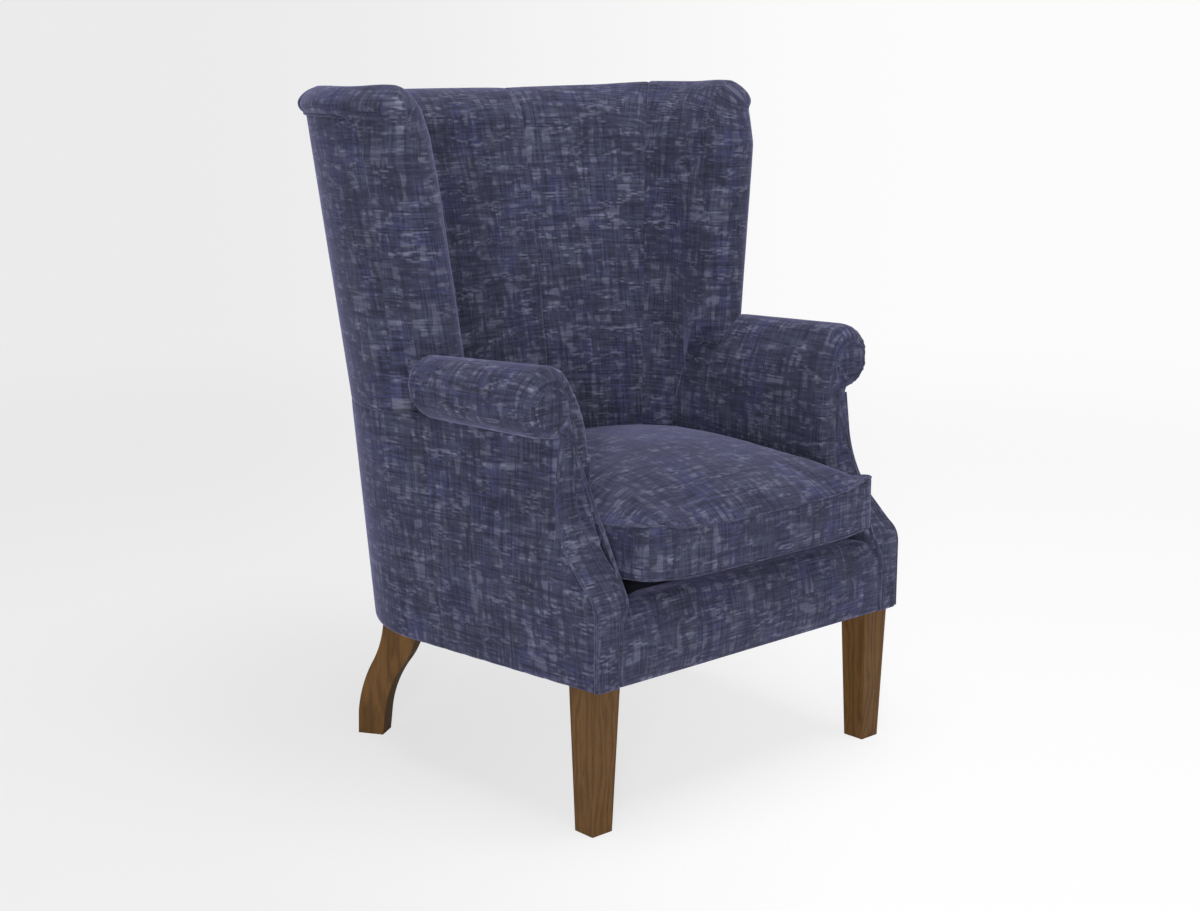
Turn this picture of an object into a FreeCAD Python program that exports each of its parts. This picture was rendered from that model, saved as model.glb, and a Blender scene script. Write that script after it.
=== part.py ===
import FreeCAD, Part
import math
import os
from FreeCAD import Vector

# Wing armchair with a barrel back, rolled arms, a loose seat cushion and tapered wooden legs.
# Millimetres. +Z is up, the chair faces -Y, and the sitter's left is +X.
# While the pieces are made, Y is measured from the widest point of the seat.
# At the end every solid moves by the same amount in Y, so that the origin is on the floor
# under the middle of the chair.

# Heights
leg_height = 218.0
arm_panel_height = 338.0
wall_above_arms = 434.0
arm_panel_top = leg_height + arm_panel_height
rim_underside = arm_panel_top + wall_above_arms
rim_centre_level = rim_underside + 26.0
rim_rise = 13.0
lean_end_level = rim_underside - 5.0

# Plan of the upholstered body
front_face_y = -389.0
base_half_width = 356.0
rim_spread = 29.0
rim_half_width = base_half_width + rim_spread
front_half_width = base_half_width - 38.0
arm_top_half_width = base_half_width - 81.0
corner_rise = 125.0
rim_side_y = 105.0
base_corner_radius = 229.0
rim_corner_radius = 240.0
corner_turn = 30.0
lean_share_at_seam = 0.335

# Layers of the wall, from the outside in
panel_thickness = 8.0
frame_thickness = 28.0
web_thickness = 1.8
wall_depth = 98.0
lumbar_depth = 10.0
gap = 0.3

# Inside back: three upholstered channels and two wings
centre_seam_turn = 13.0
wing_seam_turn = 48.5
seam_pivot_level = leg_height + 162.0
channel_valley = 3.5
rim_overhang = 8.0
outside_seam_turn = 50.0

# Wings
wing_roll_radius = 43.0
wing_base_level = arm_panel_top + 84.0
wing_base_x = base_half_width - 61.0
wing_base_y = -3.0
wing_shoulder_level = rim_underside - 60.0
wing_shoulder_x = rim_half_width - 52.0
wing_shoulder_y = 10.0
wing_top_x = rim_half_width - 60.0
wing_top_y = 17.0
wing_round_start = rim_underside - 90.0
wing_round_reach = 66.0

# Arms
arm_front_y = -293.0
scroll_x = base_half_width - 43.0
scroll_level = arm_panel_top + 44.0
scroll_splay = 0.0667
welt_radius = 30.0
roll_top_radius = 52.5
roll_shoulder_radius = 60.0
roll_rear_drop = 13.0
roll_side_radius = 40.5
roll_under_radius = 41.0
roll_rounding = 28.0
arm_inner_x = base_half_width - 113.0
arm_inner_level = arm_panel_top - 76.0
arm_inner_mid_x = arm_inner_x + 11.0
arm_inner_mid_level = leg_height + 149.0
arm_inner_low_x = arm_inner_x + 23.0
arm_splay = 0.06
arm_zone_top_y = -48.0
tuck_start_x = scroll_x + 17.0
tuck_y = -39.0
arm_pad_thickness = 36.0
front_wrap = 8.0
facing_thickness = 6.0
facing_inner_x = base_half_width - 79.5
facing_swell_x = facing_inner_x - 15.0

# Seat
rail_height = 75.0
deck_top = leg_height + 112.7
deck_thickness = 24.0
cushion_front_y = -413.0
cushion_seam_low = deck_top + 15.3
cushion_height = 81.0
cushion_crown = 68.0
cushion_clearance = 1.5
cushion_back_clearance = 6.0
border_half_width = facing_inner_x - gap
border_crest = deck_top - 0.7
border_bulge = 7.0
spring_count = 5
spring_wire_radius = 1.9
spring_half_width = 24.0
spring_pitch = 44.0
dust_cover_thickness = 1.2

# Legs
front_foot_width = 37.0
front_leg_top_width = 50.5
front_foot_outer_x = front_half_width - 9.0
front_foot_front_y = -368.0
front_leg_top_outer_x = front_half_width - 4.0
front_leg_top_front_y = -375.0
rear_leg_width = 35.0
rear_foot_x = base_half_width - 72.0
rear_foot_y = 166.0
rear_leg_turn = 32.0
front_bolt_x = front_half_width - 43.0
front_bolt_y = -337.0
rear_bolt_reach = -49.0
bolt_radius = 4.0
bolt_depth_in_leg = 60.0

# Frame timbers
post_width = 25.0
arm_rail_height = 20.0
crest_rail_height = 48.0
stay_rail_height = 45.0
upright_turn = 48.0

# Cutting shapes for one side of the chair start here and end behind the back
cut_start_x = 150.0
cut_end_y = 400.0

UP = Vector(0, 0, 1)


# General helpers
def mix(start, end, share):
    return start + (end - start) * share


def lean_share(level):
    """How far the wall has leant out: less per height below the arms than above them."""
    if level < arm_panel_top:
        return lean_share_at_seam * (level - leg_height) / (arm_panel_top - leg_height)
    return mix(lean_share_at_seam, 1.0, (level - arm_panel_top) / (lean_end_level - arm_panel_top))


def rim_level(turn):
    """Top of the padded rim, which rises from the middle of the back to the wings."""
    return rim_centre_level + rim_rise * (turn / wing_seam_turn) ** 2


def overall_height():
    return rim_level(wing_seam_turn)


def levels_between(low, high):
    """The two ends of an upright span, with the levels between them at which the wall bends."""
    bends = [leg_height + corner_rise, arm_panel_top]
    return [low] + [level for level in bends if low < level < high] + [high]


def wall_circle(turn, level):
    """Centre and radius of the outside arc that a turn belongs to, at one level."""
    share = lean_share(level)
    corner_radius = mix(base_corner_radius, rim_corner_radius, share)
    side_reach = mix(base_half_width, rim_half_width, share) - corner_radius
    side_y = mix(0.0, rim_side_y, share)
    if abs(turn) >= corner_turn:
        return Vector(math.copysign(side_reach, turn), side_y, level), corner_radius
    corner = math.radians(corner_turn)
    beyond = side_reach / math.sin(corner)
    return Vector(0.0, side_y - beyond * math.cos(corner), level), corner_radius + beyond


def outward(turn):
    angle = math.radians(turn)
    return Vector(math.sin(angle), math.cos(angle), 0)


def barrel(turn, level, depth):
    """A point of the curved wall: turn in degrees from straight back, depth in from the outside."""
    centre, radius = wall_circle(turn, level)
    return centre + outward(turn) * (radius - depth)


def seam_point(turn, level, depth):
    """A point of the wall on the upright plane of a seam, which stays flat while the wall leans out."""
    pivot = wall_circle(turn, seam_pivot_level)[0]
    centre, radius = wall_circle(turn, level)
    pivot.z = level
    offset = pivot - centre
    along = offset.dot(outward(turn))
    reach = math.sqrt(along ** 2 - offset.dot(offset) + (radius - depth) ** 2) - along
    return pivot + outward(turn) * reach


def wall_middle(first, last, level, depth):
    """The point of the wall's corner arc halfway between two others."""
    centre, radius = wall_circle(90.0, level)
    towards = (first + last) * 0.5 - centre
    return centre + towards.normalize() * (radius - depth)


def side_x(y, level):
    """Outside of the body beside the arm, which runs straight from the front to the widest point."""
    share = max(0.0, (level - leg_height - corner_rise) / (arm_panel_top - leg_height - corner_rise))
    front_x = mix(front_half_width, arm_top_half_width, share)
    widest = barrel(90.0, level, 0.0)
    return mix(front_x, widest.x, (y - front_face_y) / (widest.y - front_face_y))


def arm_inner(y, level):
    """Inside face of the arm, which splays towards the back and opens towards the seat."""
    if level >= arm_inner_level:
        inner = arm_inner_x
    elif level >= arm_inner_mid_level:
        share = (level - arm_inner_mid_level) / (arm_inner_level - arm_inner_mid_level)
        inner = mix(arm_inner_mid_x, arm_inner_x, share)
    else:
        share = (level - deck_top) / (arm_inner_mid_level - deck_top)
        inner = mix(arm_inner_low_x, arm_inner_mid_x, share)
    return inner + arm_splay * (y - arm_front_y)


def arc(first, via, last):
    return Part.Arc(first, via, last).toShape()


def closed(points):
    return Part.makePolygon(points + [points[0]])


def loft(wires, ruled=True):
    return Part.makeLoft(wires, True, ruled)


def extruded(wire, direction):
    return Part.Face(wire).extrude(direction)


def mirrored(shape):
    return shape.mirror(Vector(0, 0, 0), Vector(1, 0, 0))


def wall_edges(first, last, level, depth):
    """Arcs along the wall from one turn to another, split where the radius changes."""
    forward = last > first
    low, high = min(first, last), max(first, last)
    stops = [low] + [turn for turn in (-corner_turn, corner_turn) if low < turn < high] + [high]
    if not forward:
        stops.reverse()
    edges = []
    for start, end in zip(stops, stops[1:]):
        # A stop on the corner takes its point from the stretch that it belongs to.
        middle = (start + end) / 2
        edges.append(arc(barrel(start, level, depth), barrel(middle, level, depth), barrel(end, level, depth)))
    return edges


def band_wire(first, last, outer, inner, level):
    edges = wall_edges(first, last, level, outer)
    edges.append(Part.makeLine(barrel(last, level, outer), barrel(last, level, inner)))
    edges += wall_edges(last, first, level, inner)
    edges.append(Part.makeLine(barrel(first, level, inner), barrel(first, level, outer)))
    return Part.Wire(edges)


def band(first, last, outer, inner, low, high):
    """A piece of the wall between two turns, two depths and two levels."""
    return loft([band_wire(first, last, outer, inner, level) for level in levels_between(low, high)])


def side_wire(front_y, last_turn, outer, inner, level):
    """The wall's plan from the arm's front, past the widest point, to a turn of the back."""
    start_out = Vector(side_x(front_y, level) - outer, front_y, level)
    start_in = Vector(side_x(front_y, level) - inner, front_y, level)
    edges = [Part.makeLine(start_out, barrel(90.0, level, outer))]
    if last_turn < 90.0:
        edges += wall_edges(90.0, last_turn, level, outer)
        edges.append(Part.makeLine(barrel(last_turn, level, outer), barrel(last_turn, level, inner)))
        edges += wall_edges(last_turn, 90.0, level, inner)
    else:
        edges.append(Part.makeLine(barrel(90.0, level, outer), barrel(90.0, level, inner)))
    edges.append(Part.makeLine(barrel(90.0, level, inner), start_in))
    edges.append(Part.makeLine(start_in, start_out))
    return Part.Wire(edges)


def side_wall(front_y, last_turn, outer, inner, low, high):
    return loft([side_wire(front_y, last_turn, outer, inner, level) for level in levels_between(low, high)])


# Curved front of the arm
def front_edges(shift, low, high):
    """Side view of the arm's front: straight skirt, swept shoulder, then the upright under the scroll."""
    skirt = front_face_y + shift
    face = arm_front_y + shift
    reach = face - skirt
    shoulder = leg_height + 103.0
    points = [
        Vector(0, skirt, low),
        Vector(0, skirt, shoulder),
        Vector(0, skirt + 0.05 * reach, shoulder + 21.0),
        Vector(0, skirt + 0.2 * reach, shoulder + 35.0),
        Vector(0, skirt + 0.6 * reach, shoulder + 71.0),
        Vector(0, skirt + 0.88 * reach, shoulder + 115.0),
        Vector(0, face, shoulder + 180.0),
        Vector(0, face, high),
    ]
    edges = [
        Part.makeLine(points[0], points[1]),
        arc(points[1], points[2], points[3]),
        Part.makeLine(points[3], points[4]),
        arc(points[4], points[5], points[6]),
        Part.makeLine(points[6], points[7]),
    ]
    return points, edges


def behind_front(shift, back_y, low=leg_height - 10.0, high=lean_end_level):
    """Everything behind the arm's curved front, on the sitter's left."""
    points, edges = front_edges(shift, low, high)
    far_high = Vector(0, back_y, high)
    far_low = Vector(0, back_y, low)
    edges.append(Part.makeLine(points[-1], far_high))
    edges.append(Part.makeLine(far_high, far_low))
    edges.append(Part.makeLine(far_low, points[0]))
    solid = extruded(Part.Wire(edges), Vector(rim_half_width, 0, 0))
    solid.translate(Vector(100.0, 0, 0))
    return solid


def front_slice(first_shift, last_shift):
    """A slice that follows the arm's curved front."""
    thick = behind_front(first_shift, 0.0, leg_height, scroll_level + 50.0)
    return thick.cut(behind_front(last_shift, 10.0))


# Seam between the arm and the wing above and behind it
def roll_tuck(shift):
    """Outside, the arm's roll ends further forward, where its cover is tucked in beside the wing."""
    high = scroll_level + 55.0
    middle = Vector(tuck_start_x, tuck_y + shift, scroll_level + 7.0)
    top = Vector(tuck_start_x, tuck_y + 3.0 + shift, high)
    foot = Vector(tuck_start_x, tuck_y - 21.0 + shift, arm_panel_top)
    behind = [Vector(tuck_start_x, cut_end_y, arm_panel_top), Vector(tuck_start_x, cut_end_y, high)]
    edges = [arc(top, middle, foot), Part.makeLine(foot, behind[0])]
    edges += [Part.makeLine(behind[0], behind[1]), Part.makeLine(behind[1], top)]
    return extruded(Part.Wire(edges), Vector(rim_half_width, 0, 0))


def arm_zone(shift):
    """The space in front of and below the seam, as a block on the sitter's left."""
    top = Vector(0, arm_zone_top_y + shift, scroll_level + 62.0)
    via = Vector(0, 20.0 + shift, scroll_level - 17.0)
    low = Vector(0, 66.0 + shift, arm_inner_level + 8.0)
    foot = Vector(0, 82.0 + shift, deck_top)
    under = Vector(0, 82.0 + shift, leg_height)
    edges = [arc(top, via, low), Part.makeLine(low, foot), Part.makeLine(foot, under)]
    corners = [under, Vector(0, -450.0, leg_height), Vector(0, -450.0, lean_end_level)]
    corners += [Vector(0, top.y, lean_end_level), top]
    edges += [Part.makeLine(first, last) for first, last in zip(corners, corners[1:])]
    solid = extruded(Part.Wire(edges), Vector(rim_half_width, 0, 0))
    solid.translate(Vector(cut_start_x, 0, 0))
    return solid.cut(roll_tuck(shift))


# Legs, bolts and dust cover
def square(centre_x, centre_y, width, level):
    half = width / 2
    corners = [(-half, -half), (half, -half), (half, half), (-half, half)]
    return closed([Vector(centre_x + x, centre_y + y, level) for x, y in corners])


def front_leg():
    foot_x = front_foot_outer_x - front_foot_width / 2
    foot_y = front_foot_front_y + front_foot_width / 2
    top_x = front_leg_top_outer_x - front_leg_top_width / 2
    top_y = front_leg_top_front_y + front_leg_top_width / 2
    foot = square(foot_x, foot_y, front_foot_width, 0.0)
    top = square(top_x, top_y, front_leg_top_width, leg_height)
    return loft([foot, top]).cut(bolt_hole(front_bolt_x, front_bolt_y))


def rear_leg_point(reach, side, level):
    """A point of the rear leg: reach along its sweep and side towards the chair's middle."""
    turn = math.radians(rear_leg_turn)
    x = rear_foot_x + reach * math.sin(turn) - side * math.cos(turn)
    y = rear_foot_y + reach * math.cos(turn) + side * math.sin(turn)
    return Vector(x, y, level)


def rear_bolt_place():
    centre = rear_leg_point(rear_bolt_reach, rear_leg_width / 2, leg_height)
    return centre.x, centre.y


def rear_leg():
    foot_length = 42.0
    back = [(-5.0, 1.0), (-4.0, 0.82), (12.0, 0.585), (33.0, 0.36), (41.0, 0.17), (foot_length, 0.0)]
    front = [(0.0, 0.0), (-4.5, 0.18), (-15.5, 0.37), (-39.5, 0.565), (-59.0, 0.75), (-62.0, 1.0)]
    back_points = [rear_leg_point(reach, 0.0, rise * leg_height) for reach, rise in back]
    front_points = [rear_leg_point(reach, 0.0, rise * leg_height) for reach, rise in front]
    profile = [
        arc(back_points[0], back_points[1], back_points[2]),
        arc(back_points[2], back_points[3], back_points[4]),
        Part.makeLine(back_points[4], back_points[5]),
        Part.makeLine(back_points[5], front_points[0]),
        Part.makeLine(front_points[0], front_points[1]),
        arc(front_points[1], front_points[2], front_points[3]),
        arc(front_points[3], front_points[4], front_points[5]),
        Part.makeLine(front_points[5], back_points[0]),
    ]
    across = rear_leg_point(0.0, rear_leg_width, 0.0) - rear_leg_point(0.0, 0.0, 0.0)
    return extruded(Part.Wire(profile), across).cut(bolt_hole(*rear_bolt_place()))


def bolt_hole(x, y):
    return Part.makeCylinder(
        bolt_radius + gap, block_top() - leg_height + bolt_depth_in_leg + gap,
        Vector(x, y, leg_height - bolt_depth_in_leg - gap),
    )


def bolt_places():
    places = []
    for x, y in ((front_bolt_x, front_bolt_y), rear_bolt_place()):
        places += [(x, y), (-x, y)]
    return places


def rail_base():
    return leg_height + dust_cover_thickness


def rail_top():
    return rail_base() + rail_height


def block_top():
    return rail_base() + rail_height * 0.6


def leg_bolts():
    washer_radius = 10.0
    washer_height = 2.0
    nut_radius = 7.5
    nut_height = 7.0
    tail = 4.0
    bolts = []
    for x, y in bolt_places():
        foot = leg_height - bolt_depth_in_leg
        top = block_top() + washer_height + nut_height + tail
        rod = Part.makeCylinder(bolt_radius, top - foot, Vector(x, y, foot))
        washer = Part.makeCylinder(washer_radius, washer_height, Vector(x, y, block_top()))
        corners = [math.radians(60 * step) for step in range(6)]
        ring = [Vector(x + nut_radius * math.cos(a), y + nut_radius * math.sin(a), block_top() + washer_height)
                for a in corners]
        nut = extruded(closed(ring), Vector(0, 0, nut_height))
        bolts.append(rod.fuse([washer, nut]).removeSplitter())
    return Part.makeCompound(bolts)


def dust_cover():
    depth = panel_thickness + gap
    skirt = front_face_y + facing_thickness + gap
    edges = wall_edges(90.0, 0.0, leg_height, depth)
    edges += wall_edges(0.0, -90.0, leg_height, depth)
    widest = barrel(90.0, leg_height, depth)
    front = Vector(side_x(skirt, leg_height) - depth, skirt, leg_height)
    corners = [Vector(-widest.x, widest.y, leg_height), Vector(-front.x, front.y, leg_height), front, widest]
    edges += [Part.makeLine(first, last) for first, last in zip(corners, corners[1:])]
    sheet = extruded(Part.Wire(edges), Vector(0, 0, dust_cover_thickness))
    for x, y in bolt_places():
        sheet = sheet.cut(bolt_hole(x, y))
    return sheet


# Seat frame
def rail_outer():
    return panel_thickness + gap


def rail_inner():
    return rail_outer() + frame_thickness


def back_padding_depth():
    """Where the padding of the back starts, in front of the frame and its webbing."""
    return rail_inner() + web_thickness + 2 * gap


def front_rail_y():
    """Front of the front rail, behind the facings."""
    return front_face_y + facing_thickness + 2 * gap


def front_rail():
    y = front_rail_y()
    half = side_x(y, leg_height) - rail_outer() - gap
    return Part.makeBox(2 * half, frame_thickness, rail_height, Vector(-half, y, rail_base()))


def side_rail():
    y = front_rail_y() + frame_thickness + gap
    return side_wall(y, upright_turn + 12.0, rail_outer(), rail_inner(), rail_base(), rail_top())


def back_rail():
    reach = upright_turn + 11.9
    return band(-reach, reach, rail_outer(), rail_inner(), rail_base(), rail_top())


def front_block():
    """Triangular block in a front corner, which the leg's bolt goes through."""
    y = front_rail_y() + frame_thickness + gap
    inner = side_x(y, leg_height) - rail_inner() - gap
    height = block_top() - rail_base()
    corner = Vector(inner, y, rail_base())
    reach = 95.0
    points = [corner, Vector(inner - reach, y, rail_base()), Vector(inner - reach, y + 14.0, rail_base())]
    points += [Vector(inner - 14.0, y + reach, rail_base()), Vector(inner, y + reach, rail_base())]
    return extruded(closed(points), Vector(0, 0, height))


def rear_block():
    """Curved block behind a rear leg, which the leg's bolt goes through."""
    depth = rail_inner() + gap
    return band(upright_turn - 8.0, upright_turn + 20.0, depth, depth + 52.0, rail_base(), block_top())


# Arm frame and uprights
def post_top():
    return scroll_level - 26.0


def front_post(grow=0.0):
    """Shaped board behind the arm's facing, from the seat rails to the arm rail."""
    outer = rail_outer() + 6.0 - grow
    inner = outer + post_width + 2 * grow
    back_y = arm_front_y + 60.0 + grow
    low = rail_top() + gap - grow
    board = side_wall(front_face_y, 90.0, outer, inner, low, arm_panel_top)
    upper = side_wall(arm_front_y, 90.0, outer, inner, arm_panel_top, post_top() + grow)
    board = board.fuse(upper)
    return board.common(behind_front(facing_thickness + front_wrap - grow, back_y))


def arm_rail(grow=0.0):
    """Tapered plank under the arm roll, from the front post to the back upright."""
    low = post_top() + gap - grow
    high = low + arm_rail_height + 2 * grow
    front_y = arm_front_y + facing_thickness + front_wrap - grow
    wires = []
    turn = upright_turn + 11.2
    for level in (low, high):
        rear_out = barrel(turn, level, rail_outer() + 2.0 - grow)
        rear_in = barrel(turn, level, rail_inner() - 2.0 + grow)
        front_out = Vector(scroll_x + 26.0 + grow, front_y, level)
        front_in = Vector(scroll_x - 34.0 - grow, front_y, level)
        wires.append(closed([front_in, front_out, rear_out, rear_in]))
    return loft(wires)


def upright():
    return band(upright_turn, upright_turn + 10.5, rail_outer(), rail_inner(), rail_top() + gap, rim_underside)


def crest_rail():
    reach = upright_turn - 0.3
    return band(-reach, reach, rail_outer(), rail_inner(), rim_underside - crest_rail_height, rim_underside)


def stay_rail():
    reach = upright_turn - 0.3
    low = deck_top + 14.0
    return band(-reach, reach, rail_outer(), rail_inner(), low, low + stay_rail_height)


def wing_axis(level):
    """Centre of the wing's rolled front edge."""
    if level < wing_shoulder_level:
        share = (level - wing_base_level) / (wing_shoulder_level - wing_base_level)
        x = mix(wing_base_x, wing_shoulder_x, share)
        y = mix(wing_base_y, wing_shoulder_y, share)
    else:
        share = (level - wing_shoulder_level) / (overall_height() - wing_shoulder_level)
        x = mix(wing_shoulder_x, wing_top_x, share)
        y = mix(wing_shoulder_y, wing_top_y, share)
    return Vector(x, y, level)


def wing_post_foot():
    return post_top() + arm_rail_height + 2 * gap


def wing_post(grow=0.0):
    """Upright inside the wing's rolled edge, which stands on the arm rail."""
    levels = [wing_post_foot() - grow, wing_shoulder_level, rim_underside + grow]
    half_x = frame_thickness / 2 + grow
    half_y = 22.0 + grow
    wires = []
    for level in levels:
        axis = wing_axis(level)
        corners = [(-half_x, -half_y), (half_x, -half_y), (half_x, half_y), (-half_x, half_y)]
        wires.append(closed([Vector(axis.x + x, axis.y + 6.0 + y, level) for x, y in corners]))
    return loft(wires)


def wing_rail(grow=0.0):
    """Top rail of the wing, from the wing post to the back upright."""
    high = rim_underside + grow
    low = rim_underside - frame_thickness - grow
    turn = upright_turn + 11.2
    wires = []
    for level in (low, high):
        axis = wing_axis(level)
        front_y = axis.y + 28.0 + gap - grow
        rear_out = barrel(turn, level, rail_outer() + 2.0 - grow)
        rear_in = barrel(turn, level, rail_inner() - 2.0 + grow)
        front_out = Vector(axis.x + 14.0 + grow, front_y, level)
        front_in = Vector(axis.x - 14.0 - grow, front_y, level)
        wires.append(closed([front_in, front_out, rear_out, rear_in]))
    return loft(wires)


def back_webbing():
    """Upright straps across the back, from the stay rail to the crest rail."""
    outer = rail_inner() + gap
    half_turn = 3.4
    straps = []
    for turn in (-40.0, -24.0, -8.0, 8.0, 24.0, 40.0):
        low = deck_top + 16.0
        high = rim_underside - 6.0
        straps.append(band(turn - half_turn, turn + half_turn, outer, outer + web_thickness, low, high))
    return Part.makeCompound(straps)


# Springs and their clips
def spring_level():
    return rail_top() + 4.0


def back_rail_y(x):
    """Inner face of the back rail at a distance from the middle."""
    centre, radius = wall_circle(0.0, rail_top())
    return centre.y + math.sqrt((radius - rail_inner()) ** 2 - x ** 2)


def spring_ends(x):
    front = front_rail_y() + frame_thickness - 6.0
    return front, back_rail_y(x) + 6.0


def spring_places():
    spread = 95.0
    return [spread * (step - (spring_count - 1) / 2) for step in range(spring_count)]


def spring_path(x, front, rear):
    """A zigzag in one level: a straight end, half-round bends to both sides and a straight end."""
    level = spring_level()
    bend = spring_pitch / 4
    reach = spring_half_width - bend
    inset = bend * (1.0 - math.sqrt(0.5))
    loops = int((rear - front - 50.0) / (2 * bend))
    start = front + (rear - front - loops * 2 * bend) / 2

    def place(side, y):
        return Vector(x + side, y, level)

    edges = [Part.makeLine(place(0, front), place(0, start - bend))]
    edges.append(arc(place(0, start - bend), place(inset, start - inset), place(bend, start)))
    here = place(bend, start)
    side = 1
    for step in range(loops):
        y = start + step * 2 * bend
        far = place(side * reach, y)
        edges.append(Part.makeLine(here, far))
        here = place(side * reach, y + 2 * bend)
        edges.append(arc(far, place(side * spring_half_width, y + bend), here))
        side = -side
    last = place(-side * bend, start + loops * 2 * bend)
    edges.append(Part.makeLine(here, last))
    turned = place(0, last.y + bend)
    edges.append(arc(last, place(-side * inset, last.y + inset), turned))
    edges.append(Part.makeLine(turned, place(0, rear)))
    return Part.Wire(edges)


def seat_springs():
    """Zigzag wire springs from the front rail to the back rail."""
    springs = []
    for x in spring_places():
        front, rear = spring_ends(x)
        end = Part.makeCircle(spring_wire_radius, Vector(x, front, spring_level()), Vector(0, 1, 0))
        springs.append(spring_path(x, front, rear).makePipeShell([Part.Wire(end)], True, False))
    return Part.makeCompound(springs)


def spring_clips():
    """Folded clips on the rails that hold the spring ends."""
    length = 22.0
    width = 20.0
    height = 2 * (spring_level() - rail_top())
    clips = []
    for x in spring_places():
        front, rear = spring_ends(x)
        for end, y in ((front, front - 8.0), (rear, rear - length + 8.0)):
            block = Part.makeBox(width, length, height, Vector(x - width / 2, y, rail_top()))
            bore = Part.makeCylinder(
                spring_wire_radius + gap, 2 * length, Vector(x, y - length / 2, spring_level()), Vector(0, 1, 0)
            )
            clips.append(block.cut(bore))
    return Part.makeCompound(clips)


# Seat deck and front border
def seat_deck():
    """Padded platform over the springs, which the cushion lies on."""
    low = deck_top - deck_thickness
    front = front_rail_y() + frame_thickness + 11.0
    depth = back_padding_depth()
    step_y = 84.0
    half_turn = math.degrees(math.acos((step_y - barrel(90.0, low, 0).y) / (base_corner_radius - depth)))
    edges = wall_edges(half_turn, -half_turn, low, depth)
    end = barrel(half_turn, low, depth)
    inner_back = Vector(arm_inner(step_y, deck_top) - gap, end.y, low)
    inner_front = Vector(arm_inner(front, deck_top) - gap, front, low)
    corners = [
        Vector(-end.x, end.y, low), Vector(-inner_back.x, inner_back.y, low),
        Vector(-inner_front.x, inner_front.y, low), inner_front, inner_back, end,
    ]
    edges += [Part.makeLine(first, last) for first, last in zip(corners, corners[1:])]
    return extruded(Part.Wire(edges), Vector(0, 0, deck_thickness))


def border_wire(x, bulge, crest):
    """Side view of the front border: a padded skirt with a lip that turns back over the rail."""
    skirt = front_face_y + 1.0
    rail = front_rail_y() - gap
    lip_back = front_rail_y() + frame_thickness + 11.0 - gap
    points = {
        "hem": (skirt, leg_height),
        "belly": (skirt - bulge, mix(leg_height, crest, 0.62)),
        "brow": (skirt + 3.0, crest - 9.0),
        "lip": (skirt + 7.0, crest - 3.0),
        "crown": (skirt + 16.0, crest),
        "back": (lip_back, crest - 2.0),
        "under": (lip_back, rail_top() + 12.0),
        "step": (rail + 11.0, rail_top() + 12.0),
        "seat": (rail + 10.0, rail_top() + gap),
        "corner": (rail, rail_top() + gap),
        "inside": (rail, leg_height),
    }
    place = {name: Vector(x, y, z) for name, (y, z) in points.items()}
    edges = [
        arc(place["hem"], place["belly"], place["brow"]),
        arc(place["brow"], place["lip"], place["crown"]),
    ]
    order = ["crown", "back", "under", "step", "seat", "corner", "inside", "hem"]
    edges += [Part.makeLine(place[first], place[last]) for first, last in zip(order, order[1:])]
    return Part.Wire(edges)


def front_border():
    stations = []
    for side in (-1, 1):
        stations += [
            (side * border_half_width, 1.0, border_crest - 16.0),
            (side * (border_half_width - 8.0), 3.0, border_crest - 11.0),
            (side * (border_half_width - 28.0), border_bulge - 1.0, border_crest - 4.0),
            (side * (border_half_width - 70.0), border_bulge, border_crest),
        ]
    stations.sort()
    return loft([border_wire(*station) for station in stations])


# Arm upholstery
def outside_arm():
    panel = side_wall(front_face_y - 10.0, outside_seam_turn + 0.1, 0.0, panel_thickness, leg_height, arm_panel_top)
    return panel.common(behind_front(facing_thickness + gap, 400.0))


def welt_disc(grow):
    return Part.makeCylinder(
        welt_radius + grow, 60.0, Vector(scroll_x, arm_front_y - 20.0, scroll_level), Vector(0, 1, 0)
    )


def facing_strip(grow):
    """Front view of the facing under its scroll, as wide as the body on the outside."""
    y = front_face_y
    outer = rim_half_width
    swell_low = leg_height + 116.0
    neck = Vector(scroll_x - 37.0 - grow, y, scroll_level - 58.0)
    points = [
        Vector(facing_inner_x - grow, y, leg_height - grow),
        Vector(facing_inner_x - grow, y, swell_low - 22.0),
        Vector(facing_swell_x - grow, y, swell_low),
        Vector(facing_swell_x + 1.5 - grow, y, arm_inner_mid_level + 7.0),
        neck,
        Vector(neck.x, y, arm_panel_top),
        Vector(outer, y, arm_panel_top),
        Vector(outer, y, leg_height - grow),
    ]
    edges = [
        Part.makeLine(points[0], points[1]),
        Part.makeLine(points[1], points[2]),
        Part.makeLine(points[2], points[3]),
        arc(points[3], Vector(facing_swell_x + 9.0 - grow, y, arm_inner_level - 35.0), neck),
    ]
    edges += [Part.makeLine(first, last) for first, last in zip(points[4:], points[5:] + [points[0]])]
    strip = extruded(Part.Wire(edges), Vector(0, 200.0, 0))
    strip.translate(Vector(0, -60.0, 0))
    return strip


def facing_neck(grow):
    """Where the facing narrows into its scroll, above the outside panel."""
    y = arm_front_y - 20.0
    low = arm_panel_top - 8.0
    points = [
        Vector(scroll_x - 37.0 - grow, y, low),
        Vector(scroll_x - 18.0 + grow, y, low),
        Vector(scroll_x - 16.0 + grow, y, arm_panel_top),
        Vector(scroll_x - 9.0 + grow, y, scroll_level - welt_radius + 2.0),
        Vector(scroll_x, y, scroll_level),
        Vector(scroll_x - welt_radius + 0.5 - grow, y, scroll_level - 4.0),
    ]
    return extruded(closed(points), Vector(0, 60.0, 0))


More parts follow.
